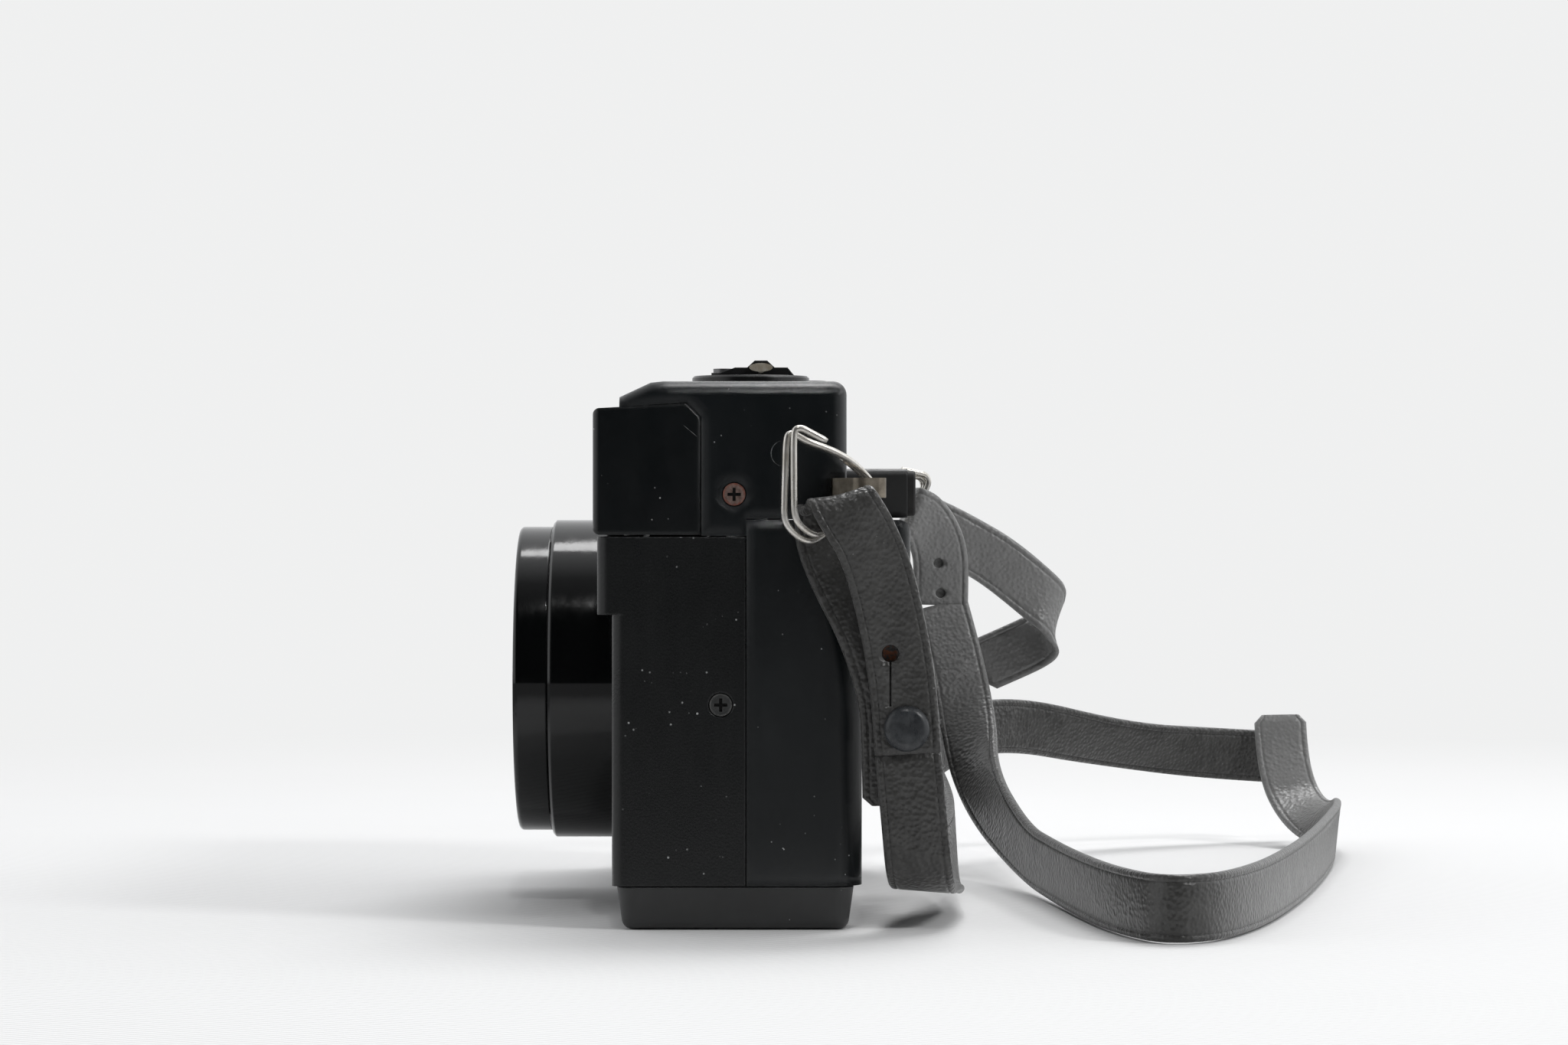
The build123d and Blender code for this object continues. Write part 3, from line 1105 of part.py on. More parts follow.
# Studs of the strap, a domed head, a shank and a flat cap behind


def stud(origin, direction, depth):
    """A domed stud; origin is the middle of its head's flat face."""
    seat = Plane(origin=origin, z_dir=direction)
    with BuildPart() as rivet:
        with BuildSketch(seat):
            Circle(STUD_HEAD)
        extrude(amount=1.5)
        fillet(rivet.faces().sort_by(lambda f: (f.center() - seat.origin).dot(seat.z_dir))[-1].edges(), 1.2)
        with BuildSketch(seat):
            Circle(STUD_SHANK)
        extrude(amount=-depth)
        with BuildSketch(seat.offset(-depth)):
            Circle(2.3)
        extrude(amount=-0.8)
    return rivet


strap_stud_near = stud(NEAR_STUD, (1, 0, 0), 3.6)
strap_stud_far = stud(FAR_STUD + FAR_STUD_OUT, FAR_STUD_OUT, 2.0)

os.makedirs("parts", exist_ok=True)
NODES = {
    "top_cover": top_cover,
    "front_panel": front_panel,
    "panel_windows": panel_windows,
    "front_body": front_body,
    "bottom_cover": bottom_cover,
    "battery_door": battery_door,
    "tripod_socket": tripod_socket,
    "chassis": chassis,
    "back_door": back_door,
    "door_hinge": door_hinge,
    "pressure_plate": pressure_plate,
    "pressure_spring": pressure_spring,
    "light_seals": light_seals,
    "lens_barrel": lens_barrel,
    "helicoid": helicoid,
    "focus_ring": focus_ring,
    "lens_cell": lens_cell,
    "name_ring": name_ring,
    "lens_glass": lens_glass,
    "shutter_housing": shutter_housing,
    "blade_near": blade_near,
    "blade_far": blade_far,
    "rear_glass": rear_glass,
    "eyepiece_housing": eyepiece_housing,
    "eyepiece_rim": eyepiece_rim,
    "finder_lenses": finder_lenses,
    "finder_tunnel": finder_tunnel,
    "flash_reflector": flash_reflector,
    "flash_tube": flash_tube,
    "flash_capacitor": flash_capacitor,
    "light_sensor": light_sensor,
    "circuit_board": circuit_board,
    "batteries": batteries,
    "battery_contacts": battery_contacts,
    "battery_bridge": battery_bridge,
    "rewind_shaft": rewind_shaft,
    "rewind_knob": rewind_knob,
    "crank_arm": crank_arm,
    "crank_pin": crank_pin,
    "crank_grip": crank_grip,
    "door_latch": door_latch,
    "advance_lever": advance_lever,
    "counter_dial": counter_dial,
    "counter_window": counter_window,
    "takeup_spool": takeup_spool,
    "film_sprocket": film_sprocket,
    "button_collar": button_collar,
    "shutter_button": shutter_button,
    "rewind_release_button": rewind_release_button,
    "cover_screws": cover_screws,
    "body_screws": body_screws,
    "strap_lugs": strap_lugs,
    "near_ring": near_ring,
    "far_ring": far_ring,
    "strap_near_end": strap_near_end,
    "strap_far_end": strap_far_end,
    "strap_free_near": strap_free_near,
    "strap_free_far": strap_free_far,
    "strap_stud_near": strap_stud_near,
    "strap_stud_far": strap_stud_far,
}
for name, node in NODES.items():
    node.part.label = name
    export_step(node.part, "parts/" + name + ".step")
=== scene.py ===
import json
import math

import bmesh
import bpy
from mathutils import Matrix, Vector


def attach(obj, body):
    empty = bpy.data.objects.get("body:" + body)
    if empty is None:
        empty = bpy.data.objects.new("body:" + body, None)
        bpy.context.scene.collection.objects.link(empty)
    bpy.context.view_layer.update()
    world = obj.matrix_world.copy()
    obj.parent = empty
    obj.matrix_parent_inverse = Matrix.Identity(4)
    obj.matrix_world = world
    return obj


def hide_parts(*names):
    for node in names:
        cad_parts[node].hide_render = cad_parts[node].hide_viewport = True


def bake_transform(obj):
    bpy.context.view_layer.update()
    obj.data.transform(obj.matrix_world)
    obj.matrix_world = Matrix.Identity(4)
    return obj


MM = 0.001

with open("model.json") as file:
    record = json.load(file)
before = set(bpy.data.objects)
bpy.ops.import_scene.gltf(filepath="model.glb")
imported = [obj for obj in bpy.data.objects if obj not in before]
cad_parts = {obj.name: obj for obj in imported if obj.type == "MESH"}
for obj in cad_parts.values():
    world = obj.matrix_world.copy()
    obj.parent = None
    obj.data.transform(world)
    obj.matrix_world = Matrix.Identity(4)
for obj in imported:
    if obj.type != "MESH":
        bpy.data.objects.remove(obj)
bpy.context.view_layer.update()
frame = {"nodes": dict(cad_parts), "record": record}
scene = bpy.context.scene


# Materials: every surface is a Principled shader whose colour, roughness and bump vary over it

# The Mix node repeats its sockets' names for each kind of data, so its colours are found by number
MIX_FACTOR, MIX_FIRST, MIX_SECOND, MIX_RESULT = 0, 6, 7, 2
# Each kind of texture, as its node, sockets, properties and the output that is used
TEXTURES = {
    "pebble": ("TexVoronoi", {"Smoothness": 0.6}, {"feature": "SMOOTH_F1"}, "Distance"),
    "speck": ("TexVoronoi", {}, {"feature": "F1"}, "Distance"),
    "noise": ("TexNoise", {"Detail": 4.0, "Roughness": 0.6}, {}, "Fac"),
}
# The stretch of the noise that turns one colour, or one roughness, into the other
TINT_SPAN = (0.35, 0.65)
SHINE_SPAN = (0.3, 0.7)
BLOTCH = 120
SMEAR_FINER = 3.1
SMEAR_STRETCH = (1, 1, 0.35)
# Patches of noise, as cells a metre, the stretch of the noise, and what its ends become
WEAR_PATCHES = (900, 0.42, 0.6)
SPECK_PATCHES = (170, 0.52, 0.62)
STAIN_PATCHES = (1500, 0.45, 0.55)
RIM_PATCHES = (2600, 0.4, 0.55, 0.2, 1)
SCRATCH_PATCHES = (3500, 0.4, 0.55, 0.15, 0.8)
SCRATCH_COLOUR = (0.3, 0.31, 0.31)
BEVEL_SAMPLES = 4
# How far a rounded edge's normal has to turn away to count as worn, as cosines
WEAR_TURN = (0.97, 0.8)
# Painted light: where the far strap is painted paler, as light from above and behind falls on it, in
# metres: by its height, and beyond the camera's far end
LIGHT_FADE_HEIGHT = (0.018, 0.046)
LIGHT_FADE_BEYOND = (-0.088, -0.112)
# The side screws' outer face, and how far behind it their recess turns to painted shade, in metres
SCREW_FACE = 0.0622
PIT_STEP = 0.0001
# The soft border, in metres, of marks that only the near side carries
NEAR_SIDE = (0, 0.001)


def add(tree, kind, sockets=None, **properties):
    """A shader node; each socket given is set to a value or linked to another node's output."""
    node = tree.nodes.new("ShaderNode" + kind)
    for key, value in properties.items():
        setattr(node, key, value)
    for key, value in (sockets or {}).items():
        if isinstance(value, bpy.types.NodeSocket):
            tree.links.new(value, node.inputs[key])
        else:
            node.inputs[key].default_value = value
    return node


def vector_math(tree, operation, *values):
    """The outputs of a vector operation on the values."""
    return add(tree, "VectorMath", dict(enumerate(values)), operation=operation).outputs


def pattern(tree, place, kind, scale, stretch=(1, 1, 1)):
    """A grey texture of one kind, scale in cells a metre, stretched along the axes."""
    node, sockets, properties, output = TEXTURES[kind]
    spread = add(tree, "Mapping", {"Vector": place, "Scale": stretch}).outputs["Vector"]
    return add(tree, node, {"Vector": spread, "Scale": scale, **sockets}, **properties).outputs[output]


def ranged(tree, value, low, high, to_low=0, to_high=1):
    """The value carried from one range into another, and held within it."""
    ends = {"From Min": low, "From Max": high, "To Min": to_low, "To Max": to_high}
    return add(tree, "MapRange", {"Value": value, **ends}).outputs["Result"]


def patches(tree, place, scale, low, high, least=0, most=1):
    """Soft patches of noise, from the least to the most."""
    return ranged(tree, pattern(tree, place, "noise", scale), low, high, least, most)


def blended(tree, factor, first, second):
    """A colour between two, each a tuple or another node's output."""
    first, second = [(*c, 1) if isinstance(c, tuple) else c for c in (first, second)]
    ends = {MIX_FACTOR: factor, MIX_FIRST: first, MIX_SECOND: second}
    return add(tree, "Mix", ends, data_type="RGBA").outputs[MIX_RESULT]


def combined(tree, first, second, operation="MULTIPLY"):
    """Two values joined, and held between 0 and 1."""
    return add(tree, "Math", {0: first, 1: second}, operation=operation, use_clamp=True).outputs[0]


def axes(tree, vector):
    """The parts of the vector, called X, Y and Z."""
    return add(tree, "SeparateXYZ", {0: vector}).outputs


def unsigned(tree, value):
    """The value without its sign."""
    return add(tree, "Math", {0: value}, operation="ABSOLUTE").outputs[0]


def side_distance(tree, place, centre):
    """How far from a centre (y, z) in mm a point lies, seen from the side."""
    offset = vector_math(tree, "SUBTRACT", place, (0, centre[0] * MM, centre[1] * MM))[0]
    flat = vector_math(tree, "MULTIPLY", offset, (0, 1, 1))[0]
    return vector_math(tree, "LENGTH", flat)["Value"]


def arc_mark(tree, place, centre, radius, width, reach):
    """An arc round a centre (y, z) on the side faces, for the stretch of y beside it, all in mm."""
    away = side_distance(tree, place, centre)
    inner = ranged(tree, away, (radius - width) * MM, radius * MM)
    outer = ranged(tree, away, radius * MM, (radius + width) * MM, 1, 0)
    parts = axes(tree, place)
    side = ranged(tree, parts["Y"], (centre[0] + reach[0]) * MM, (centre[0] + reach[1]) * MM, 1, 0)
    near = ranged(tree, parts["X"], *NEAR_SIDE)
    return combined(tree, combined(tree, combined(tree, inner, outer), side), near)


def line_mark(tree, place, centre, angle, half, width):
    """A straight score on the side faces: its middle (y, z), its slope, half length and width in mm."""
    turned = add(tree, "Mapping", {
        "Vector": place, "Location": (0, centre[0] * MM, centre[1] * MM),
        "Rotation": (math.radians(angle), 0, 0)}, vector_type="TEXTURE")
    parts = axes(tree, turned.outputs[0])
    along, beside = [
        ranged(tree, unsigned(tree, parts[axis]), size / 2 * MM, size * MM, 1, 0)
        for axis, size in (("Y", half), ("Z", width))]
    near = ranged(tree, parts["X"], *NEAR_SIDE)
    return combined(tree, combined(tree, along, beside), near)


def rounded(tree, radius):
    """The normal of the shape with its edges rounded, the radius in mm."""
    return add(tree, "Bevel", {"Radius": radius * MM}, samples=BEVEL_SAMPLES).outputs["Normal"]


def worn(tree, place, tint, colour, width, amount):
    """Edges rubbed to another colour in patches."""
    flat = add(tree, "NewGeometry").outputs["Normal"]
    turned = vector_math(tree, "DOT_PRODUCT", rounded(tree, width), flat)["Value"]
    mask = ranged(tree, turned, *WEAR_TURN)
    patchy = patches(tree, place, *WEAR_PATCHES, 0, amount)
    return blended(tree, combined(tree, mask, patchy), tint, colour)


def speckled(tree, place, tint, colour, scale, size):
    """Dust, as small dots in patches."""
    dots = ranged(tree, pattern(tree, place, "speck", scale), size, size / 2)
    return blended(tree, combined(tree, dots, patches(tree, place, *SPECK_PATCHES)), tint, colour)


def painted_light_fade(tree, place, tint, colour):
    """Painted light: the tint turns into a paler colour high up and beyond the camera's far end, where
    light falls on the far strap.
    """
    parts = axes(tree, place)
    high = ranged(tree, parts["Z"], *LIGHT_FADE_HEIGHT)
    beyond = ranged(tree, parts["X"], *LIGHT_FADE_BEYOND)
    return blended(tree, combined(tree, high, beyond, "MAXIMUM"), tint, colour)


def stained(tree, place, tint, centre, size, inner, colour):
    """A stain round a point, full at its inner and gone at its outer size, all in mm."""
    away = vector_math(tree, "DISTANCE", place, [c * MM for c in centre])["Value"]
    near = ranged(tree, away, size * MM, inner * MM)
    return blended(tree, combined(tree, near, patches(tree, place, *STAIN_PATCHES)), tint, colour)


def screw_head(tree, place, tint, centre, span, edge_colour, recess_shade_colour):
    """The rim of a side screw with its centre at (y, z), in mm, and painted shade in its recess."""
    edge = ranged(tree, side_distance(tree, place, centre), span[0] * MM, span[1] * MM)
    tint = blended(tree, combined(tree, edge, patches(tree, place, *RIM_PATCHES)), tint, edge_colour)
    across = unsigned(tree, axes(tree, place)["X"])
    # Painted shade: all that lies behind the screw's outer face turns near black
    return blended(tree, ranged(tree, across, SCREW_FACE, SCREW_FACE - PIT_STEP), tint, recess_shade_colour)


def fresh_material(name, sockets):
    """A new material with its tree and its shader, which has these values all over."""
    material = bpy.data.materials.new(name)
    material.use_nodes = True
    shader = material.node_tree.nodes["Principled BSDF"]
    for key, value in sockets.items():
        shader.inputs[key].default_value = value
    return material, material.node_tree, shader


def surface(
        name, colours, rough, blotch=BLOTCH, grain=(), soften=0.0, wear=None, specks=None, marks=(),
        scores=(), rim=None, light_fade=None, stain=None, sockets=None):
    """A finish: colours and roughness between two ends, blotches in cells a metre, grain as
    (kind, cells a metre, height mm), rounded edges of a radius in mm, worn edges as
    (colour, width mm, amount), specks as (colour, cells a metre, size), scratches as arcs and straight
    scores, a screw's rim and the painted shade in its recess, a painted-light fade to a second, paler
    pair of colours, a stain, and the shader's sockets that are the same all over."""
    material, tree, shader = fresh_material(name, sockets or {})
    place = add(tree, "TexCoord").outputs["Object"]
    cloud = pattern(tree, place, "noise", blotch)
    tint = blended(tree, ranged(tree, cloud, *TINT_SPAN), *colours)
    smear = pattern(tree, place, "noise", blotch * SMEAR_FINER, SMEAR_STRETCH)
    shine = ranged(tree, smear, *SHINE_SPAN, *rough)
    normal = rounded(tree, soften) if soften else None
    if wear:
        tint = worn(tree, place, tint, *wear)
    if specks:
        tint = speckled(tree, place, tint, *specks)
    # Painted light: the far strap is painted paler high up and far out
    if light_fade:
        tint = painted_light_fade(tree, place, tint, blended(tree, cloud, *light_fade))
    if stain:
        tint = stained(tree, place, tint, *stain)
    if rim:
        tint = screw_head(tree, place, tint, *rim)
    scratches = [arc_mark(tree, place, *mark) for mark in marks]
    scratches += [line_mark(tree, place, *score) for score in scores]
    for scratch in scratches:
        broken = combined(tree, scratch, patches(tree, place, *SCRATCH_PATCHES))
        tint = blended(tree, broken, tint, SCRATCH_COLOUR)
    for kind, scale, height in grain:
        bump = add(tree, "Bump", {"Distance": height * MM, "Height": pattern(tree, place, kind, scale)})
        if normal:
            tree.links.new(normal, bump.inputs["Normal"])
        normal = bump.outputs["Normal"]
    tree.links.new(tint, shader.inputs["Base Color"])
    tree.links.new(shine, shader.inputs["Roughness"])
    if normal:
        tree.links.new(normal, shader.inputs["Normal"])
    return material


DUST = (0.45, 0.46, 0.46)
RUB = (0.03, 0.032, 0.034)
STRAP_BLACK = ((0.034, 0.0335, 0.032), (0.052, 0.0515, 0.0495))
STRAP_SHEEN = {"Sheen Weight": 0.25, "Sheen Roughness": 0.4}
# Marks of the near side, in mm and as their functions take them: the crescent on the top cover, the
# score on the front panel, the rust at the keyhole, and the rims of the side screws with painted shade in
# their recesses
CRESCENT = ((6.7, 67.7), 1.85, 0.09, (-2.0, -0.35))
PANEL_SCORE = ((-6.5, 70.8), -40, 1.45, 0.035)
KEYHOLE_STAIN = ((63.9, 21.7, 39.4), 1.3, 0.9, (0.16, 0.05, 0.018))
# The last colour of each screw is the painted shade in its recess
RUSTY_RIM = ((-0.4, 61.9), (1.2, 1.75), (0.26, 0.045, 0.015), (0.003, 0.0025, 0.0025))
DULL_RIM = ((-2.3, 32.0), (1.3, 1.6), (0.14, 0.14, 0.135), (0.002, 0.002, 0.002))
LOOKS = {
    "gloss_black": dict(
        colours=((0.0048, 0.006, 0.0066), (0.0066, 0.0078, 0.0085)), rough=(0.1, 0.17), soften=0.9,
        grain=[("noise", 200, 0.008)], specks=(DUST, 640, 0.09), wear=(RUB, 0.5, 0.8),
        scores=[PANEL_SCORE]),
    "cover_black": dict(
        colours=((0.0068, 0.0085, 0.0094), (0.0092, 0.011, 0.012)), rough=(0.1, 0.18), soften=2.2,
        grain=[("noise", 200, 0.008)], specks=(DUST, 640, 0.08), wear=(RUB, 0.6, 0.6),
        marks=[CRESCENT]),
    "satin_black": dict(
        colours=((0.026, 0.0265, 0.0268), (0.032, 0.0325, 0.033)), rough=(0.34, 0.46), soften=0.4,
        grain=[("noise", 2600, 0.006)], specks=(DUST, 640, 0.05), wear=(RUB, 0.4, 0.8)),
    "matte_black": dict(
        colours=((0.0038, 0.0046, 0.005), (0.0056, 0.0064, 0.0068)), rough=(0.26, 0.36), soften=0.4,
        grain=[("pebble", 3000, 0.01), ("noise", 1400, 0.006)], specks=(DUST, 900, 0.17),
        wear=(RUB, 0.4, 0.7)),
    "lens_black": dict(
        colours=((0.0028, 0.0034, 0.0038), (0.004, 0.0046, 0.005)), rough=(0.07, 0.13), soften=0.3,
        grain=[("noise", 500, 0.01)], wear=(RUB, 0.25, 0.6)),
    "inner_black": dict(
        colours=((0.012, 0.012, 0.012), (0.02, 0.02, 0.02)), rough=(0.5, 0.62),
        grain=[("noise", 1800, 0.02)]),
    "ring_black": dict(
        colours=((0.006, 0.0064, 0.0068), (0.009, 0.0095, 0.01)), rough=(0.16, 0.28), soften=0.25,
        grain=[("noise", 1500, 0.004)], specks=(DUST, 420, 0.04), wear=(RUB, 0.25, 0.8)),
    "knob_black": dict(
        colours=((0.008, 0.0083, 0.009), (0.014, 0.0145, 0.015)), rough=(0.22, 0.34), soften=0.15,
        grain=[("noise", 1500, 0.008)], wear=((0.1, 0.1, 0.1), 0.2, 0.8)),
    "lever_black": dict(
        colours=((0.012, 0.012, 0.0125), (0.018, 0.018, 0.019)), rough=(0.3, 0.42), soften=0.2,
        grain=[("noise", 1700, 0.01)], wear=((0.09, 0.09, 0.09), 0.2, 0.7)),
    "rubber_black": dict(
        colours=((0.012, 0.012, 0.012), (0.022, 0.021, 0.02)), rough=(0.6, 0.75),
        grain=[("noise", 2400, 0.02)]),
    "foam": dict(
        colours=((0.008, 0.008, 0.008), (0.02, 0.019, 0.018)), rough=(0.85, 0.95), blotch=700,
        grain=[("pebble", 2600, 0.12)]),
    "steel": dict(
        colours=((0.42, 0.42, 0.42), (0.56, 0.56, 0.55)), rough=(0.26, 0.38),
        grain=[("noise", 2100, 0.006)], sockets={"Metallic": 1.0}),
    "bright_metal": dict(
        colours=((0.66, 0.63, 0.57), (0.86, 0.84, 0.8)), rough=(0.24, 0.36), blotch=420,
        grain=[("noise", 700, 0.002)], sockets={"Metallic": 0.9}),
    "pin_metal": dict(
        colours=((0.62, 0.54, 0.42), (0.85, 0.8, 0.7)), rough=(0.25, 0.4), blotch=700,
        grain=[("noise", 1900, 0.006)], sockets={"Metallic": 0.55}),
    "crank_grey": dict(
        colours=((0.16, 0.16, 0.165), (0.26, 0.26, 0.265)), rough=(0.28, 0.42), blotch=300,
        grain=[("noise", 1900, 0.008)], wear=((0.5, 0.49, 0.47), 0.15, 0.8), sockets={"Metallic": 0.7}),
    "lug_metal": dict(
        colours=((0.2, 0.175, 0.14), (0.36, 0.32, 0.26)), rough=(0.34, 0.5), blotch=500,
        grain=[("noise", 1500, 0.02)], sockets={"Metallic": 0.9}),
    "worn_screw": dict(
        colours=((0.2, 0.14, 0.12), (0.09, 0.055, 0.045)), rough=(0.4, 0.6), blotch=1700,
        grain=[("noise", 3000, 0.04)], rim=RUSTY_RIM, sockets={"Metallic": 0.1}),
    "black_screw": dict(
        colours=((0.035, 0.036, 0.036), (0.055, 0.056, 0.056)), rough=(0.3, 0.45), blotch=900,
        grain=[("noise", 2400, 0.03)], rim=DULL_RIM, sockets={"Metallic": 0.3}),
    "reflector": dict(
        colours=((0.8, 0.8, 0.82), (0.9, 0.9, 0.91)), rough=(0.08, 0.16),
        grain=[("noise", 700, 0.02)], sockets={"Metallic": 1.0}),
    "blade": dict(
        colours=((0.02, 0.02, 0.023), (0.035, 0.035, 0.04)), rough=(0.3, 0.42),
        grain=[("noise", 1900, 0.005)], sockets={"Metallic": 0.4}),
    "capacitor": dict(
        colours=((0.02, 0.022, 0.035), (0.035, 0.036, 0.05)), rough=(0.25, 0.35),
        grain=[("noise", 900, 0.02)]),
    "board": dict(
        colours=((0.015, 0.075, 0.034), (0.03, 0.11, 0.05)), rough=(0.25, 0.4), blotch=500,
        grain=[("noise", 1300, 0.03)]),
    "battery": dict(
        colours=((0.22, 0.22, 0.23), (0.3, 0.3, 0.31)), rough=(0.22, 0.36),
        grain=[("noise", 700, 0.02)], sockets={"Metallic": 0.7}),
    "sensor": dict(
        colours=((0.05, 0.02, 0.02), (0.08, 0.035, 0.03)), rough=(0.06, 0.12),
        grain=[("noise", 900, 0.01)]),
    "dial": dict(
        colours=((0.42, 0.42, 0.42), (0.55, 0.55, 0.54)), rough=(0.28, 0.4),
        grain=[("noise", 1900, 0.006)], sockets={"Metallic": 0.8}),
    "button_metal": dict(
        colours=((0.45, 0.45, 0.45), (0.6, 0.6, 0.6)), rough=(0.2, 0.34),
        grain=[("noise", 1700, 0.01)], sockets={"Metallic": 1.0}),
    "release_grey": dict(
        colours=((0.16, 0.16, 0.16), (0.22, 0.22, 0.22)), rough=(0.35, 0.48),
        grain=[("noise", 1700, 0.01)]),
    "strap": dict(
        colours=STRAP_BLACK, rough=(0.28, 0.4), blotch=330,
        grain=[("pebble", 1500, 0.2), ("noise", 900, 0.06)], specks=((0.2, 0.2, 0.2), 700, 0.07),
        stain=KEYHOLE_STAIN, sockets=STRAP_SHEEN),
    # The same strap leather, painted paler high up and far out as painted light on the far strap
    "strap_painted_light": dict(
        colours=STRAP_BLACK, rough=(0.28, 0.4), blotch=330,
        grain=[("pebble", 1500, 0.14), ("noise", 900, 0.06)],
        light_fade=((0.2, 0.2, 0.198), (0.27, 0.27, 0.267)), sockets=STRAP_SHEEN),
    "stud": dict(
        colours=((0.016, 0.018, 0.021), (0.05, 0.054, 0.058)), rough=(0.2, 0.42), blotch=420,
        soften=0.25, grain=[("noise", 1500, 0.03)], wear=((0.22, 0.22, 0.21), 0.5, 0.8)),
    "window_glass": dict(
        colours=((0.7, 0.74, 0.78), (0.78, 0.82, 0.85)), rough=(0.03, 0.06),
        grain=[("noise", 90, 0.01)], sockets={"Transmission Weight": 1.0, "IOR": 1.49}),
    "optical_glass": dict(
        colours=((0.62, 0.66, 0.8), (0.72, 0.66, 0.86)), rough=(0.01, 0.03),
        grain=[("noise", 90, 0.002)], sockets={"Transmission Weight": 1.0, "IOR": 1.6, "Coat Weight": 0.6}),
}
FINISHES = {name: surface(name, **look) for name, look in LOOKS.items()}

# Nodes whose finish isn't the one of their slot
OWN_FINISH = {
    "top_cover": "cover_black", "back_door": "cover_black", "lens_barrel": "lens_black",
    "focus_ring": "lens_black", "lens_cell": "lens_black", "crank_pin": "pin_metal",
}
slots = {part["node"]: part["material_slot"] for part in frame["record"]["subparts"]}
for name, node in frame["nodes"].items():
    node.data.materials.clear()
    node.data.materials.append(FINISHES[OWN_FINISH.get(name, slots[name])])


# Shapes: closed skins over sections that follow a smooth line, all in mm

def spline_points(points, steps):
    """The points of the smooth line that has these control points."""
    curve = bpy.data.curves.new("line", "CURVE")
    curve.dimensions = "3D"
    curve.resolution_u = steps
    line = curve.splines.new("NURBS")
    line.points.add(len(points) - 1)
    for control, point in zip(line.points, points):
        control.co = (*point, 1)
    line.order_u = 3
    line.use_endpoint_u = True
    line.resolution_u = steps
    holder = bpy.data.objects.new("line", curve)
    mesh = bpy.data.meshes.new_from_object(holder)
    read = [vertex.co.copy() for vertex in mesh.vertices]
    bpy.data.meshes.remove(mesh)
    bpy.data.objects.remove(holder)
    bpy.data.curves.remove(curve)
    return read


def distances(line):
    """How far along the line each of its points lies."""
    run = [0.0]
    for before, after in zip(line, line[1:]):
        run.append(run[-1] + (after - before).length)
    return run


def heading(line, i):
    """The direction in which the line passes its point i."""
    return (line[min(i + 1, len(line) - 1)] - line[max(i - 1, 0)]).normalized()


def skin(name, sections):
    """A closed piece over sections, each a list of as many points, its faces looking outward."""
    count = len(sections[0])
    verts = [point * MM for section in sections for point in section]
    faces = []
    for start in range(0, len(verts) - count, count):
        for j in range(count):
            k = (j + 1) % count
            faces.append((start + j, start + k, start + count + k, start + count + j))
    faces += [tuple(reversed(range(count))), tuple(range(len(verts) - count, len(verts)))]
    mesh = bpy.data.meshes.new(name)
    mesh.from_pydata(verts, [], faces)
    piece = bpy.data.objects.new(name, mesh)
    scene.collection.objects.link(piece)
    shape = bmesh.new()
    shape.from_mesh(mesh)
    bmesh.ops.recalc_face_normals(shape, faces=shape.faces)
    shape.to_mesh(mesh)
    shape.free()
    return piece


def dress(piece, finish):
    """Gives the piece a finish and smooth sides; its two end faces stay flat."""
    piece.data.materials.append(FINISHES[finish])
    for polygon in piece.data.polygons:
        polygon.use_smooth = len(polygon.vertices) == 4


def prism(name, corners, place, depth):
    """A straight solid across the sides, centred on the place, with its corners (y, z) round it."""
    return skin(name, [
        [Vector(place) + Vector((x, y, z)) for y, z in corners] for x in (-depth / 2, depth / 2)])


def circle(radius, count):
    """The corners of a circle round the origin."""
    turns = [2 * math.pi * i / count for i in range(count)]
    return [(radius * math.cos(t), radius * math.sin(t)) for t in turns]


def cut(piece, cutters):
    """Takes the cutters out of the piece and deletes them."""
    for cutter in cutters:
        tool = piece.modifiers.new("cut", "BOOLEAN")
        tool.operation = "DIFFERENCE"
        tool.solver = "EXACT"
        tool.object = cutter
        bpy.context.view_layer.update()
        whole = piece.evaluated_get(bpy.context.evaluated_depsgraph_get())
        mesh = bpy.data.meshes.new_from_object(whole)
        piece.modifiers.clear()
        piece.data = mesh
    for cutter in cutters:
        bpy.data.objects.remove(cutter)


# Strap: bands with grooved faces and a width direction of their own at each station

STRAP_HALF = 4.7
STRAP_THICK = 1.5
END_RADIUS = 1.3
GROOVE = 0.2
CROWN = 1.07
# A quarter of the strap's outline from its edge to its middle: how far out, the share of half the
# thickness, and 1 at the bottom of the groove
PROFILE = [
    (STRAP_HALF, 0.0, 0), (4.64, 0.5, 0), (4.45, 0.85, 0), (4.15, 1.0, 0), (3.82, 1.0, 0),
    (3.66, 1.0, 1), (3.5, 1.0, 0), (3.1, 1.03, 0), (1.6, 1.06, 0), (0.0, CROWN, 0),
]
LOOP_STEPS = 10
RUN_STEPS = 12
# How far beside the strap's line a second line is drawn, which gives its width direction
BESIDE = 10


def outline(thick, width):
    """The strap's section as (across, through), all the way round, its width as a share."""
    half = []
    for across, share, groove in PROFILE:
        half.append((across * width, thick / 2 * share / CROWN - groove * GROOVE * thick / STRAP_THICK))
    top = half + [(-across, through) for across, through in reversed(half[:-1])]
    return top + [(across, -through) for across, through in reversed(top[1:-1])]


def end_width(gap):
    """The share of the strap's width at that distance from its rounded end."""
    if gap >= END_RADIUS:
        return 1.0
    corner = math.sqrt(END_RADIUS**2 - (END_RADIUS - gap) ** 2)
    return (STRAP_HALF - END_RADIUS + corner) / STRAP_HALF


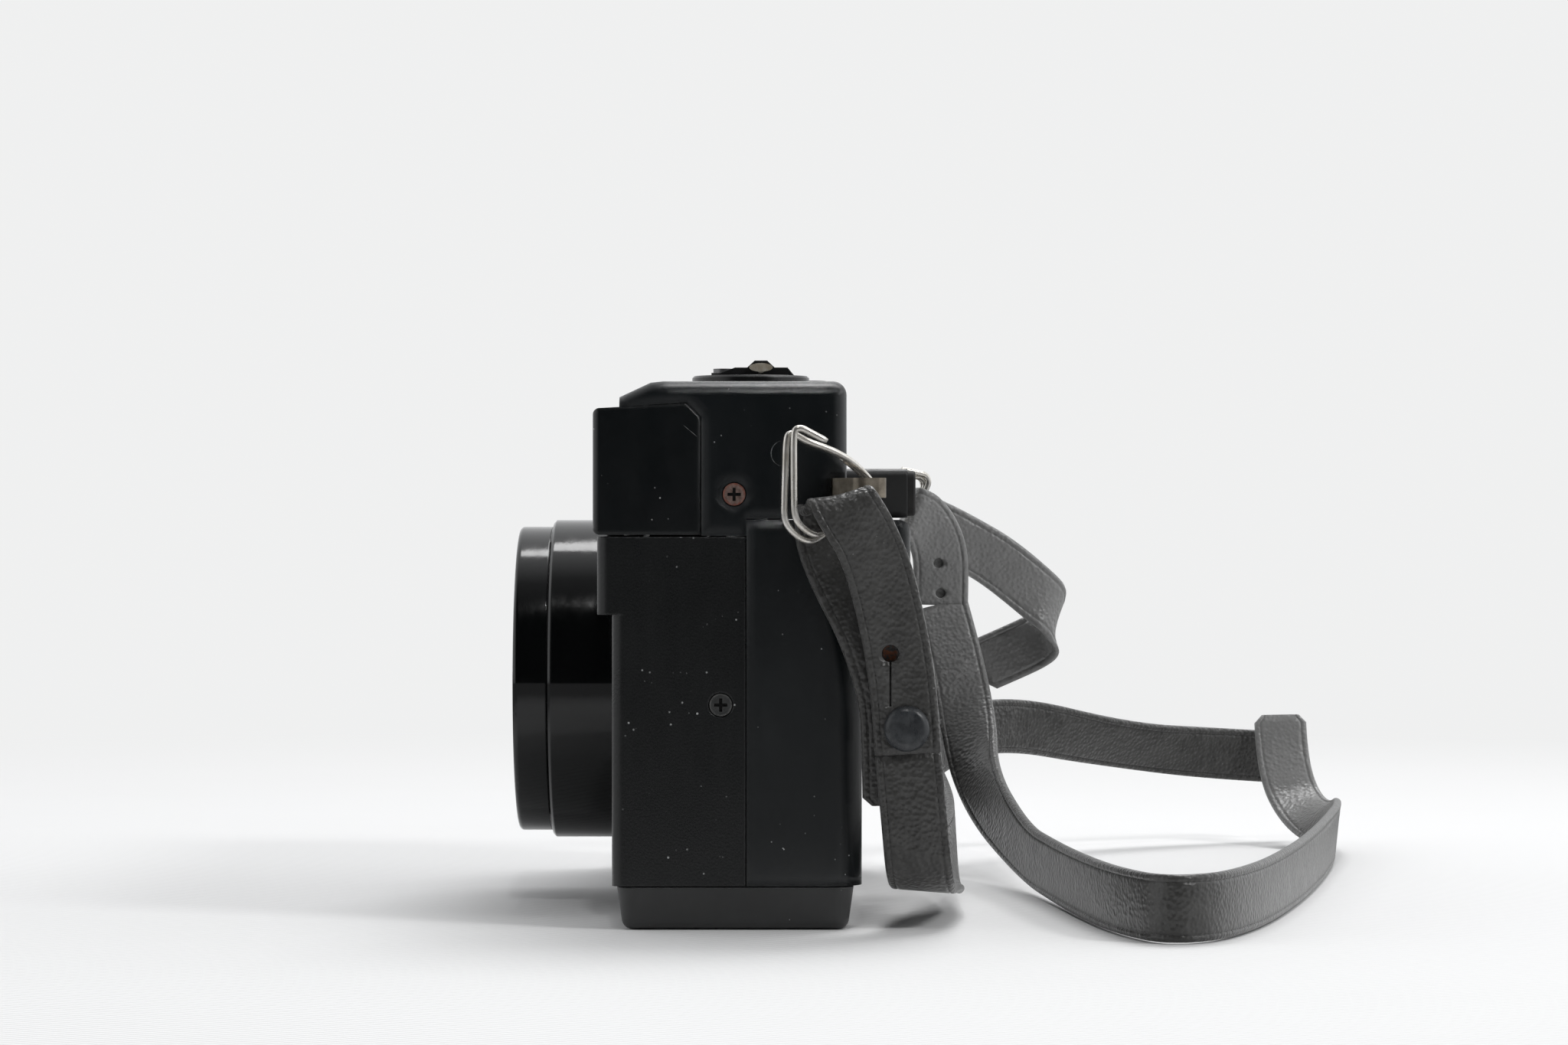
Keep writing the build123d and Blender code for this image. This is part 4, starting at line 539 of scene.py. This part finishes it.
def band(name, stations, free_end, finish, steps):
    """A strap through stations of (place, width direction, thickness), rounded at its free end, which
    is its first or its last station."""
    line = spline_points([place for place, across, thick in stations], steps)
    beside = [Vector(place) + Vector(across).normalized() * BESIDE for place, across, thick in stations]
    edges = spline_points(beside, steps)
    thicks = spline_points([(thick, 0, 0) for place, across, thick in stations], steps)
    run = distances(line)
    sections = []
    for i, (point, edge, thick) in enumerate(zip(line, edges, thicks)):
        travel = heading(line, i)
        side = edge - point
        side = (side - travel * side.dot(travel)).normalized()
        face = side.cross(travel)
        gap = run[i] if free_end == "first" else run[-1] - run[i]
        sections.append([point + side * a + face * t for a, t in outline(thick.x, end_width(gap))])
    piece = skin(name, sections)
    dress(piece, finish)
    return piece


# The far ring, by its lug's hole, the directions of its plane and its turn, and the strap's fold on it
WIRE_RADIUS = 0.475
WIRE_PITCH = 1.05
RING_REACH = 13.0
RING_HALF_BASE = 7.4
CORNER_REACH = 3.8
FOLD_THICK = 1.0
FOLD_GAP = 0.1
FOLD_TAIL = 1.2
FOLD_STEP = 15
FAR_LUG = Vector((-63.4, 20.7, 62.8))
FAR_ALONG = Vector((-0.34, 0.94, 0)).normalized()
FAR_NORMAL = Vector((0.94, 0.34, 0)).normalized()
FAR_TURN = math.radians(-24)
FAR_CORNER = FAR_LUG - FAR_ALONG * (CORNER_REACH * math.cos(FAR_TURN))
FAR_CORNER -= Vector((0, 0, CORNER_REACH * math.sin(FAR_TURN)))


def far_spot(reach, up):
    """The place of a point (reach, rise) in the plane of the far ring."""
    out = reach * math.cos(FAR_TURN) - up * math.sin(FAR_TURN)
    rise = reach * math.sin(FAR_TURN) + up * math.cos(FAR_TURN)
    return FAR_CORNER + FAR_ALONG * out + Vector((0, 0, rise))


def far_fold():
    """Stations of the strap's turn round the far ring's outer side, from its inner to its outer leaf."""
    foot, head = far_spot(RING_REACH, -RING_HALF_BASE), far_spot(RING_REACH, RING_HALF_BASE)
    across = (head - foot).normalized()
    middle = foot + across * RING_HALF_BASE
    inward = FAR_NORMAL.cross(across).normalized()
    radius = WIRE_RADIUS + FOLD_GAP + FOLD_THICK / 2
    turns = [(-WIRE_PITCH, 180, FOLD_TAIL)]
    turns += [(-WIRE_PITCH, angle, 0) for angle in range(180, 89, -FOLD_STEP)]
    turns += [(WIRE_PITCH, angle, 0) for angle in range(90, -1, -FOLD_STEP)]
    turns += [(WIRE_PITCH, 0, FOLD_TAIL)]
    stations = []
    for level, angle, drop in turns:
        out = math.cos(math.radians(angle)) * radius + level
        point = middle + FAR_NORMAL * out + inward * (math.sin(math.radians(angle)) * radius - drop)
        stations.append((point, across, FOLD_THICK))
    return stations


UP = (0, 0, 1)
DOWN = (0, -1, 0)
BACK = (0, 1, 0)
RIDGE = (0.05, -0.97, -0.22)
NEAR_JOIN = (64.9, 24.2, 25.2)
FAR_JOIN = (-67.5, 33.3, 43.9)
# The loops as (place, width direction, thickness), and the free runs as (place, width direction)
NEAR_STATIONS = [
    ((63.0, 22.5, 17.8), DOWN, 1.5), ((63.1, 22.4, 24.0), DOWN, 1.5), ((63.2, 22.2, 31.2), DOWN, 1.5),
    ((63.3, 21.0, 36.5), (0.15, -0.98, -0.08), 1.5), ((63.5, 18.4, 43.4), (0.3, -0.92, -0.22), 1.5),
    ((63.7, 15.0, 50.0), (0.25, -0.9, -0.37), 1.5), ((63.7, 13.0, 55.0), (0.15, -0.94, -0.3), 1.4),
    ((63.8, 12.8, 58.2), RIDGE, 1.4), ((64.2, 13.1, 60.2), RIDGE, 1.4), ((66.0, 13.5, 60.4), RIDGE, 1.4),
    ((68.4, 14.0, 60.35), RIDGE, 1.4), ((69.9, 14.5, 61.4), RIDGE, 1.4), ((71.1, 15.3, 60.4), RIDGE, 1.4),
    ((71.0, 16.6, 58.3), (0.1, -0.9, -0.4), 1.4), ((70.2, 17.8, 56.4), (0.15, -0.85, -0.48), 1.5),
    ((69.2, 19.0, 53.8), (0.15, -0.9, -0.4), 1.5), ((67.9, 20.2, 50.6), (0.1, -0.94, -0.3), 1.5),
    ((66.9, 21.3, 46.5), (0.08, -0.97, -0.2), 1.5), ((66.0, 22.4, 41.5), (0.1, -0.99, -0.08), 1.5),
    ((65.3, 23.4, 35.5), DOWN, 1.5), ((65.1, 23.9, 30.0), DOWN, 1.5), (NEAR_JOIN, DOWN, 1.5),
]
NEAR_RUN = [
    (NEAR_JOIN, DOWN), ((64.8, 25.0, 17.0), DOWN), ((63.0, 26.0, 5.8), DOWN),
    ((45.0, 28.0, 5.6), (0, -1, 0.2)), ((22.5, 31.6, 7.5), (0, -0.2, 1)), ((1.5, 32.9, 10.4), UP),
    ((-37.5, 31.2, 15.0), UP), ((-60.0, 30.6, 19.5), UP), ((-78.0, 43.1, 24.0), UP),
    ((-102.5, 66.1, 18.3), (0.5, 0.5, 0.9)), ((-117.5, 86.6, 15.9), (0.15, 0.1, 1)),
    ((-124.2, 100.6, 14.9), UP),
]
FAR_STATIONS = [
    ((-75.0, 40.4, 33.2), (0, -0.32, 0.95), 1.5), ((-75.1, 46.0, 35.6), (0, -0.32, 0.95), 1.5),
    ((-75.0, 50.6, 37.8), (-0.2, -0.1, 0.96), 1.5), ((-74.3, 52.4, 39.6), (-0.5, 0.1, 0.85), 1.5),
    ((-72.8, 53.0, 41.4), (-0.7, 0.3, 0.7), 1.5), ((-71.3, 52.4, 43.2), (-0.5, 0.5, 0.75), 1.5),
    ((-70.6, 50.8, 45.0), (-0.2, 0.6, 0.8), 1.5), ((-70.2, 43.6, 51.0), (0, 0.6, 0.8), 1.5),
    ((-69.8, 38.3, 54.1), (0, 0.5, 0.86), 1.5), ((-68.9, 32.8, 57.0), (-0.08, 0.42, 0.9), 1.5),
    *far_fold(),
    ((-65.4, 31.8, 56.6), (-0.1, 0.62, 0.78), 1.3), ((-66.3, 33.2, 53.0), (0, 0.86, 0.5), 1.5),
    ((-67.2, 33.4, 48.6), (0, 1, 0.1), 1.5), (FAR_JOIN, BACK, 1.5),
]
FAR_RUN = [
    ((-115.5, 96.3, 23.1), BACK), ((-114.0, 96.4, 14.1), BACK), ((-106.5, 99.1, 6.0), (0, 1, 0.15)),
    ((-84.5, 102.8, 5.2), (0, 0.15, 1)), ((-47.5, 97.0, 4.9), UP), ((6.5, 87.0, 4.9), UP),
    ((48.5, 77.5, 4.9), UP), ((70.0, 71.0, 4.9), UP), ((82.5, 65.0, 4.9), UP), ((84.2, 58.2, 4.9), UP),
    ((74.0, 54.8, 4.9), UP), ((62.0, 52.4, 4.9), UP), ((42.0, 50.0, 4.9), UP), ((20.0, 47.9, 5.0), UP),
    ((-8.0, 44.5, 6.0), UP), ((-45.0, 38.8, 13.9), (0, 0.5, 0.9)), ((-59.5, 37.4, 26.0), (0, 1, 0.3)),
    ((-65.2, 35.6, 35.5), BACK), (FAR_JOIN, BACK),
]


def free_run(name, route, free_end, finish):
    """A free run of the strap, and its middle line in metres."""
    stations = [(place, across, STRAP_THICK) for place, across in route]
    path = [point * MM for point in spline_points([place for place, across in route], RUN_STEPS)]
    return band(name, stations, free_end, finish, RUN_STEPS), path


near_end = band("strap_near_loop", NEAR_STATIONS, "first", "strap", LOOP_STEPS)
# The far pieces carry the painted light of the paler far strap
far_end = band("strap_far_loop", FAR_STATIONS, "first", "strap_painted_light", LOOP_STEPS)
free_near, free_near_path = free_run("strap_near_run", NEAR_RUN, "last", "strap")
free_far, free_far_path = free_run("strap_far_run", FAR_RUN, "first", "strap_painted_light")

KEYHOLE = (66.1, 21.7, 39.4)
KEYHOLE_RADIUS = 1.25
SLIT_HALF = 0.14
SLIT_LENGTH = 7.5
KEYHOLE_DEPTH = 3.2
slit = [(-SLIT_HALF, -SLIT_LENGTH), (SLIT_HALF, -SLIT_LENGTH), (SLIT_HALF, 0), (-SLIT_HALF, 0)]
cut(near_end, [
    prism("keyhole", circle(KEYHOLE_RADIUS, 28), KEYHOLE, KEYHOLE_DEPTH),
    prism("slit", slit, KEYHOLE, KEYHOLE_DEPTH),
])

BUCKLE_HOLES = ((-66.0, 32.9, 51.0), (-66.7, 33.3, 45.9))
BUCKLE_HOLE_RADIUS = 0.85
BUCKLE_HOLE_DEPTH = 1.4
cut(far_end, [
    prism("buckle_hole", circle(BUCKLE_HOLE_RADIUS, 16), place, BUCKLE_HOLE_DEPTH)
    for place in BUCKLE_HOLES
])

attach(near_end, "near_ring_body")
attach(far_end, "far_ring_body")
for piece, node in (
    (near_end, "strap_near_end"), (far_end, "strap_far_end"),
    (free_near, "strap_free_near"), (free_far, "strap_free_far"),
):
    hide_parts(node)


# Near ring: one smooth wire, bent twice round, that takes the plain ring's place

WIRE_END = 0.75
WIRE_SIDES = 14
WIRE_STEPS = 8
NEAR_WIRE = [
    (69.6, 12.7, 69.3), (70.1, 10.6, 70.4), (70.4, 9.2, 71.15), (70.55, 8.2, 71.0), (70.6, 8.05, 69.8),
    (70.6, 8.05, 66.0), (70.6, 8.1, 61.0), (70.55, 8.15, 59.0), (70.2, 8.8, 57.6), (69.2, 10.6, 56.2),
    (68.2, 12.2, 56.3), (65.7, 15.5, 59.3), (63.6, 18.4, 61.1), (62.9, 19.2, 61.7), (62.7, 19.5, 62.6),
    (63.3, 18.95, 63.9), (65.0, 17.3, 65.6), (66.0, 16.0, 66.7), (66.9, 14.1, 67.75), (67.7, 12.3, 68.5),
    (68.7, 9.9, 69.3), (69.4, 8.2, 70.3), (69.75, 7.3, 70.4), (70.0, 6.95, 69.2), (70.05, 6.85, 65.0),
    (70.05, 6.7, 60.0), (69.95, 6.75, 58.2), (69.5, 7.7, 56.7), (68.7, 9.4, 55.4), (67.6, 11.2, 55.3),
    (64.8, 14.9, 58.6), (62.6, 18.0, 60.8), (61.9, 18.9, 61.6), (61.8, 19.1, 62.6), (62.3, 18.5, 63.9),
    (64.0, 16.4, 66.0), (65.3, 14.8, 67.1),
]


def wire(name, points, radius, finish):
    """A round wire along the smooth line of its control points, slightly narrowed at its two ends."""
    line = spline_points(points, WIRE_STEPS)
    side = heading(line, 0).orthogonal()
    sections = []
    for i, point in enumerate(line):
        travel = heading(line, i)
        side = (side - travel * side.dot(travel)).normalized()
        other = travel.cross(side)
        size = radius * (WIRE_END if i in (0, len(line) - 1) else 1.0)
        sections.append([point + side * x + other * y for x, y in circle(size, WIRE_SIDES)])
    piece = skin(name, sections)
    dress(piece, finish)
    return piece


ring_wire = wire("near_ring_wire", NEAR_WIRE, WIRE_RADIUS, "bright_metal")
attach(ring_wire, "near_ring_body")
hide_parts("near_ring")


# Floor, light and camera

PAPER = (0.868, 0.872, 0.872)
ROOM_COLOUR = (0.98, 0.99, 1.0)
# The studio's strength by direction: beyond the part, above it, and before and behind it, each as a
# stretch of the direction's own axis and the strength at the two ends of that stretch
ROOM_BEYOND = (-0.35, 0.2, 0.9, 0.012)
ROOM_ABOVE = (0.8, 1.0, 0.0, 0.25)
ROOM_BESIDE = (0.6, 0.97, 0.0, 1.5)


def white_world():
    """White to the camera; to everything else a soft studio, dark behind the photographer."""
    world = bpy.data.worlds.new("studio")
    scene.world = world
    world.use_nodes = True
    tree = world.node_tree
    paper = tree.nodes["Background"]
    paper.inputs["Color"].default_value = (*PAPER, 1)
    paper.inputs["Strength"].default_value = 1.0
    parts = axes(tree, add(tree, "TexCoord").outputs["Generated"])
    beyond = ranged(tree, parts["X"], *ROOM_BEYOND)
    above = ranged(tree, parts["Z"], *ROOM_ABOVE)
    beside = ranged(tree, unsigned(tree, parts["Y"]), *ROOM_BESIDE)
    strength = combined(tree, combined(tree, beyond, above, "ADD"), beside, "ADD")
    room = add(tree, "Background", {"Color": (*ROOM_COLOUR, 1), "Strength": strength})
    rays = add(tree, "LightPath").outputs
    seen = combined(tree, rays["Is Camera Ray"], rays["Is Transmission Ray"], "MAXIMUM")
    mix = add(tree, "MixShader", {0: seen, 1: room.outputs[0], 2: paper.outputs[0]})
    tree.links.new(mix.outputs[0], tree.nodes["World Output"].inputs["Surface"])


FLOOR_HALF = 3
FLOOR_CELLS = 9
FLOOR_COLOURS = ((0.80, 0.80, 0.80), (0.83, 0.83, 0.835))
FLOOR_SOCKETS = {"Roughness": 0.9, "Specular IOR Level": 0.1}
RIB_ANGLE = 28
RIBS = {"Scale": 190.0, "Distortion": 1.2}
RIB_HEIGHT = 0.12
# Distances from the middle, in metres, over which the floor turns into the background, and over
# which glossy rays see it as a painted dark reflection instead of the lit cloth, up to a share
FLOOR_FADE = (0.2, 0.55)
FLOOR_REFLECTION_SHADE = (0.08, 0.2, 0, 0.9)
REFLECTION_SHADE_COLOUR = (0.2, 0.2, 0.2)


def floor_cloth():
    """Pale cloth with a fine rib, which fades into the background far out and shows a painted dark
    reflection to glossy rays.
    """
    material, tree, shader = fresh_material("floor_cloth", FLOOR_SOCKETS)
    place = add(tree, "TexCoord").outputs["Object"]
    cloud = pattern(tree, place, "noise", FLOOR_CELLS)
    tree.links.new(blended(tree, cloud, *FLOOR_COLOURS), shader.inputs["Base Color"])
    turned = add(tree, "Mapping", {"Vector": place, "Rotation": (0, 0, math.radians(RIB_ANGLE))})
    ribs = add(tree, "TexWave", {"Vector": turned.outputs[0], **RIBS})
    bump = add(tree, "Bump", {"Distance": RIB_HEIGHT * MM, "Height": ribs.outputs["Fac"]})
    tree.links.new(bump.outputs["Normal"], shader.inputs["Normal"])
    rays = add(tree, "LightPath").outputs
    reach = vector_math(tree, "LENGTH", place)["Value"]
    # Painted reflection: away from the middle, glossy rays see a flat dark grey glow instead of the lit
    # cloth
    dimmed = combined(tree, rays["Is Glossy Ray"], ranged(tree, reach, *FLOOR_REFLECTION_SHADE))
    dim = add(tree, "Emission", {"Color": (*REFLECTION_SHADE_COLOUR, 1)})
    cloth = add(tree, "MixShader", {0: dimmed, 1: shader.outputs[0], 2: dim.outputs[0]})
    far = combined(tree, ranged(tree, reach, *FLOOR_FADE), rays["Is Camera Ray"])
    paper = add(tree, "Emission", {"Color": (*PAPER, 1)})
    mix = add(tree, "MixShader", {0: far, 1: cloth.outputs[0], 2: paper.outputs[0]})
    tree.links.new(mix.outputs[0], tree.nodes["Material Output"].inputs["Surface"])
    return material


white_world()
floor_mesh = bpy.data.meshes.new("floor")
floor_corners = [(x * FLOOR_HALF, y * FLOOR_HALF, 0) for x, y in ((-1, -1), (1, -1), (1, 1), (-1, 1))]
floor_mesh.from_pydata(floor_corners, [], [(0, 1, 2, 3)])
floor = bpy.data.objects.new("floor", floor_mesh)
scene.collection.objects.link(floor)
floor.data.materials.append(floor_cloth())


def lamp(name, place, target, size, watts):
    """A rectangular lamp that looks from its place to the target, all in metres."""
    light = bpy.data.lights.new(name, "AREA")
    light.shape = "RECTANGLE"
    light.size, light.size_y = size
    light.energy = watts
    holder = bpy.data.objects.new(name, light)
    scene.collection.objects.link(holder)
    holder.location = place
    holder.rotation_euler = (Vector(target) - Vector(place)).to_track_quat("-Z", "Y").to_euler()


lamp("top_light", place=(-0.55, 0.22, 1.15), target=(0, 0.03, 0.05), size=(0.6, 0.6), watts=8.0)
lamp("front_light", place=(0.5, 0.75, 0.75), target=(0, 0.03, 0.04), size=(0.22, 0.22), watts=3.4)
lamp("glint_light", place=(0.6, 0.012, 0.95), target=(0.06, 0.008, 0.07), size=(0.03, 0.05), watts=0.9)

# The photo's width in pixels and its scale in the plane of the near side, seen from that distance
PHOTO_PIXELS = 2048
PIXEL_MM = 0.1086
SIDE_DISTANCE = 0.65
SIDE_X = 0.0625
EYE_Y, EYE_Z = 0.00668, 0.0579
SENSOR_MM = 36
camera_data = bpy.data.cameras.new("view")
camera_data.sensor_width = SENSOR_MM
camera_data.lens = SENSOR_MM * SIDE_DISTANCE * 1000 / (PHOTO_PIXELS * PIXEL_MM)
camera_data.clip_start, camera_data.clip_end = 0.01, 20
camera = bpy.data.objects.new("view", camera_data)
scene.collection.objects.link(camera)
camera.location = (SIDE_X + SIDE_DISTANCE, EYE_Y, EYE_Z)
camera.rotation_euler = (math.radians(90), 0, math.radians(90))
scene.camera = camera
scene.view_settings.view_transform = "Standard"

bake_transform(free_near)
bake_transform(free_far)
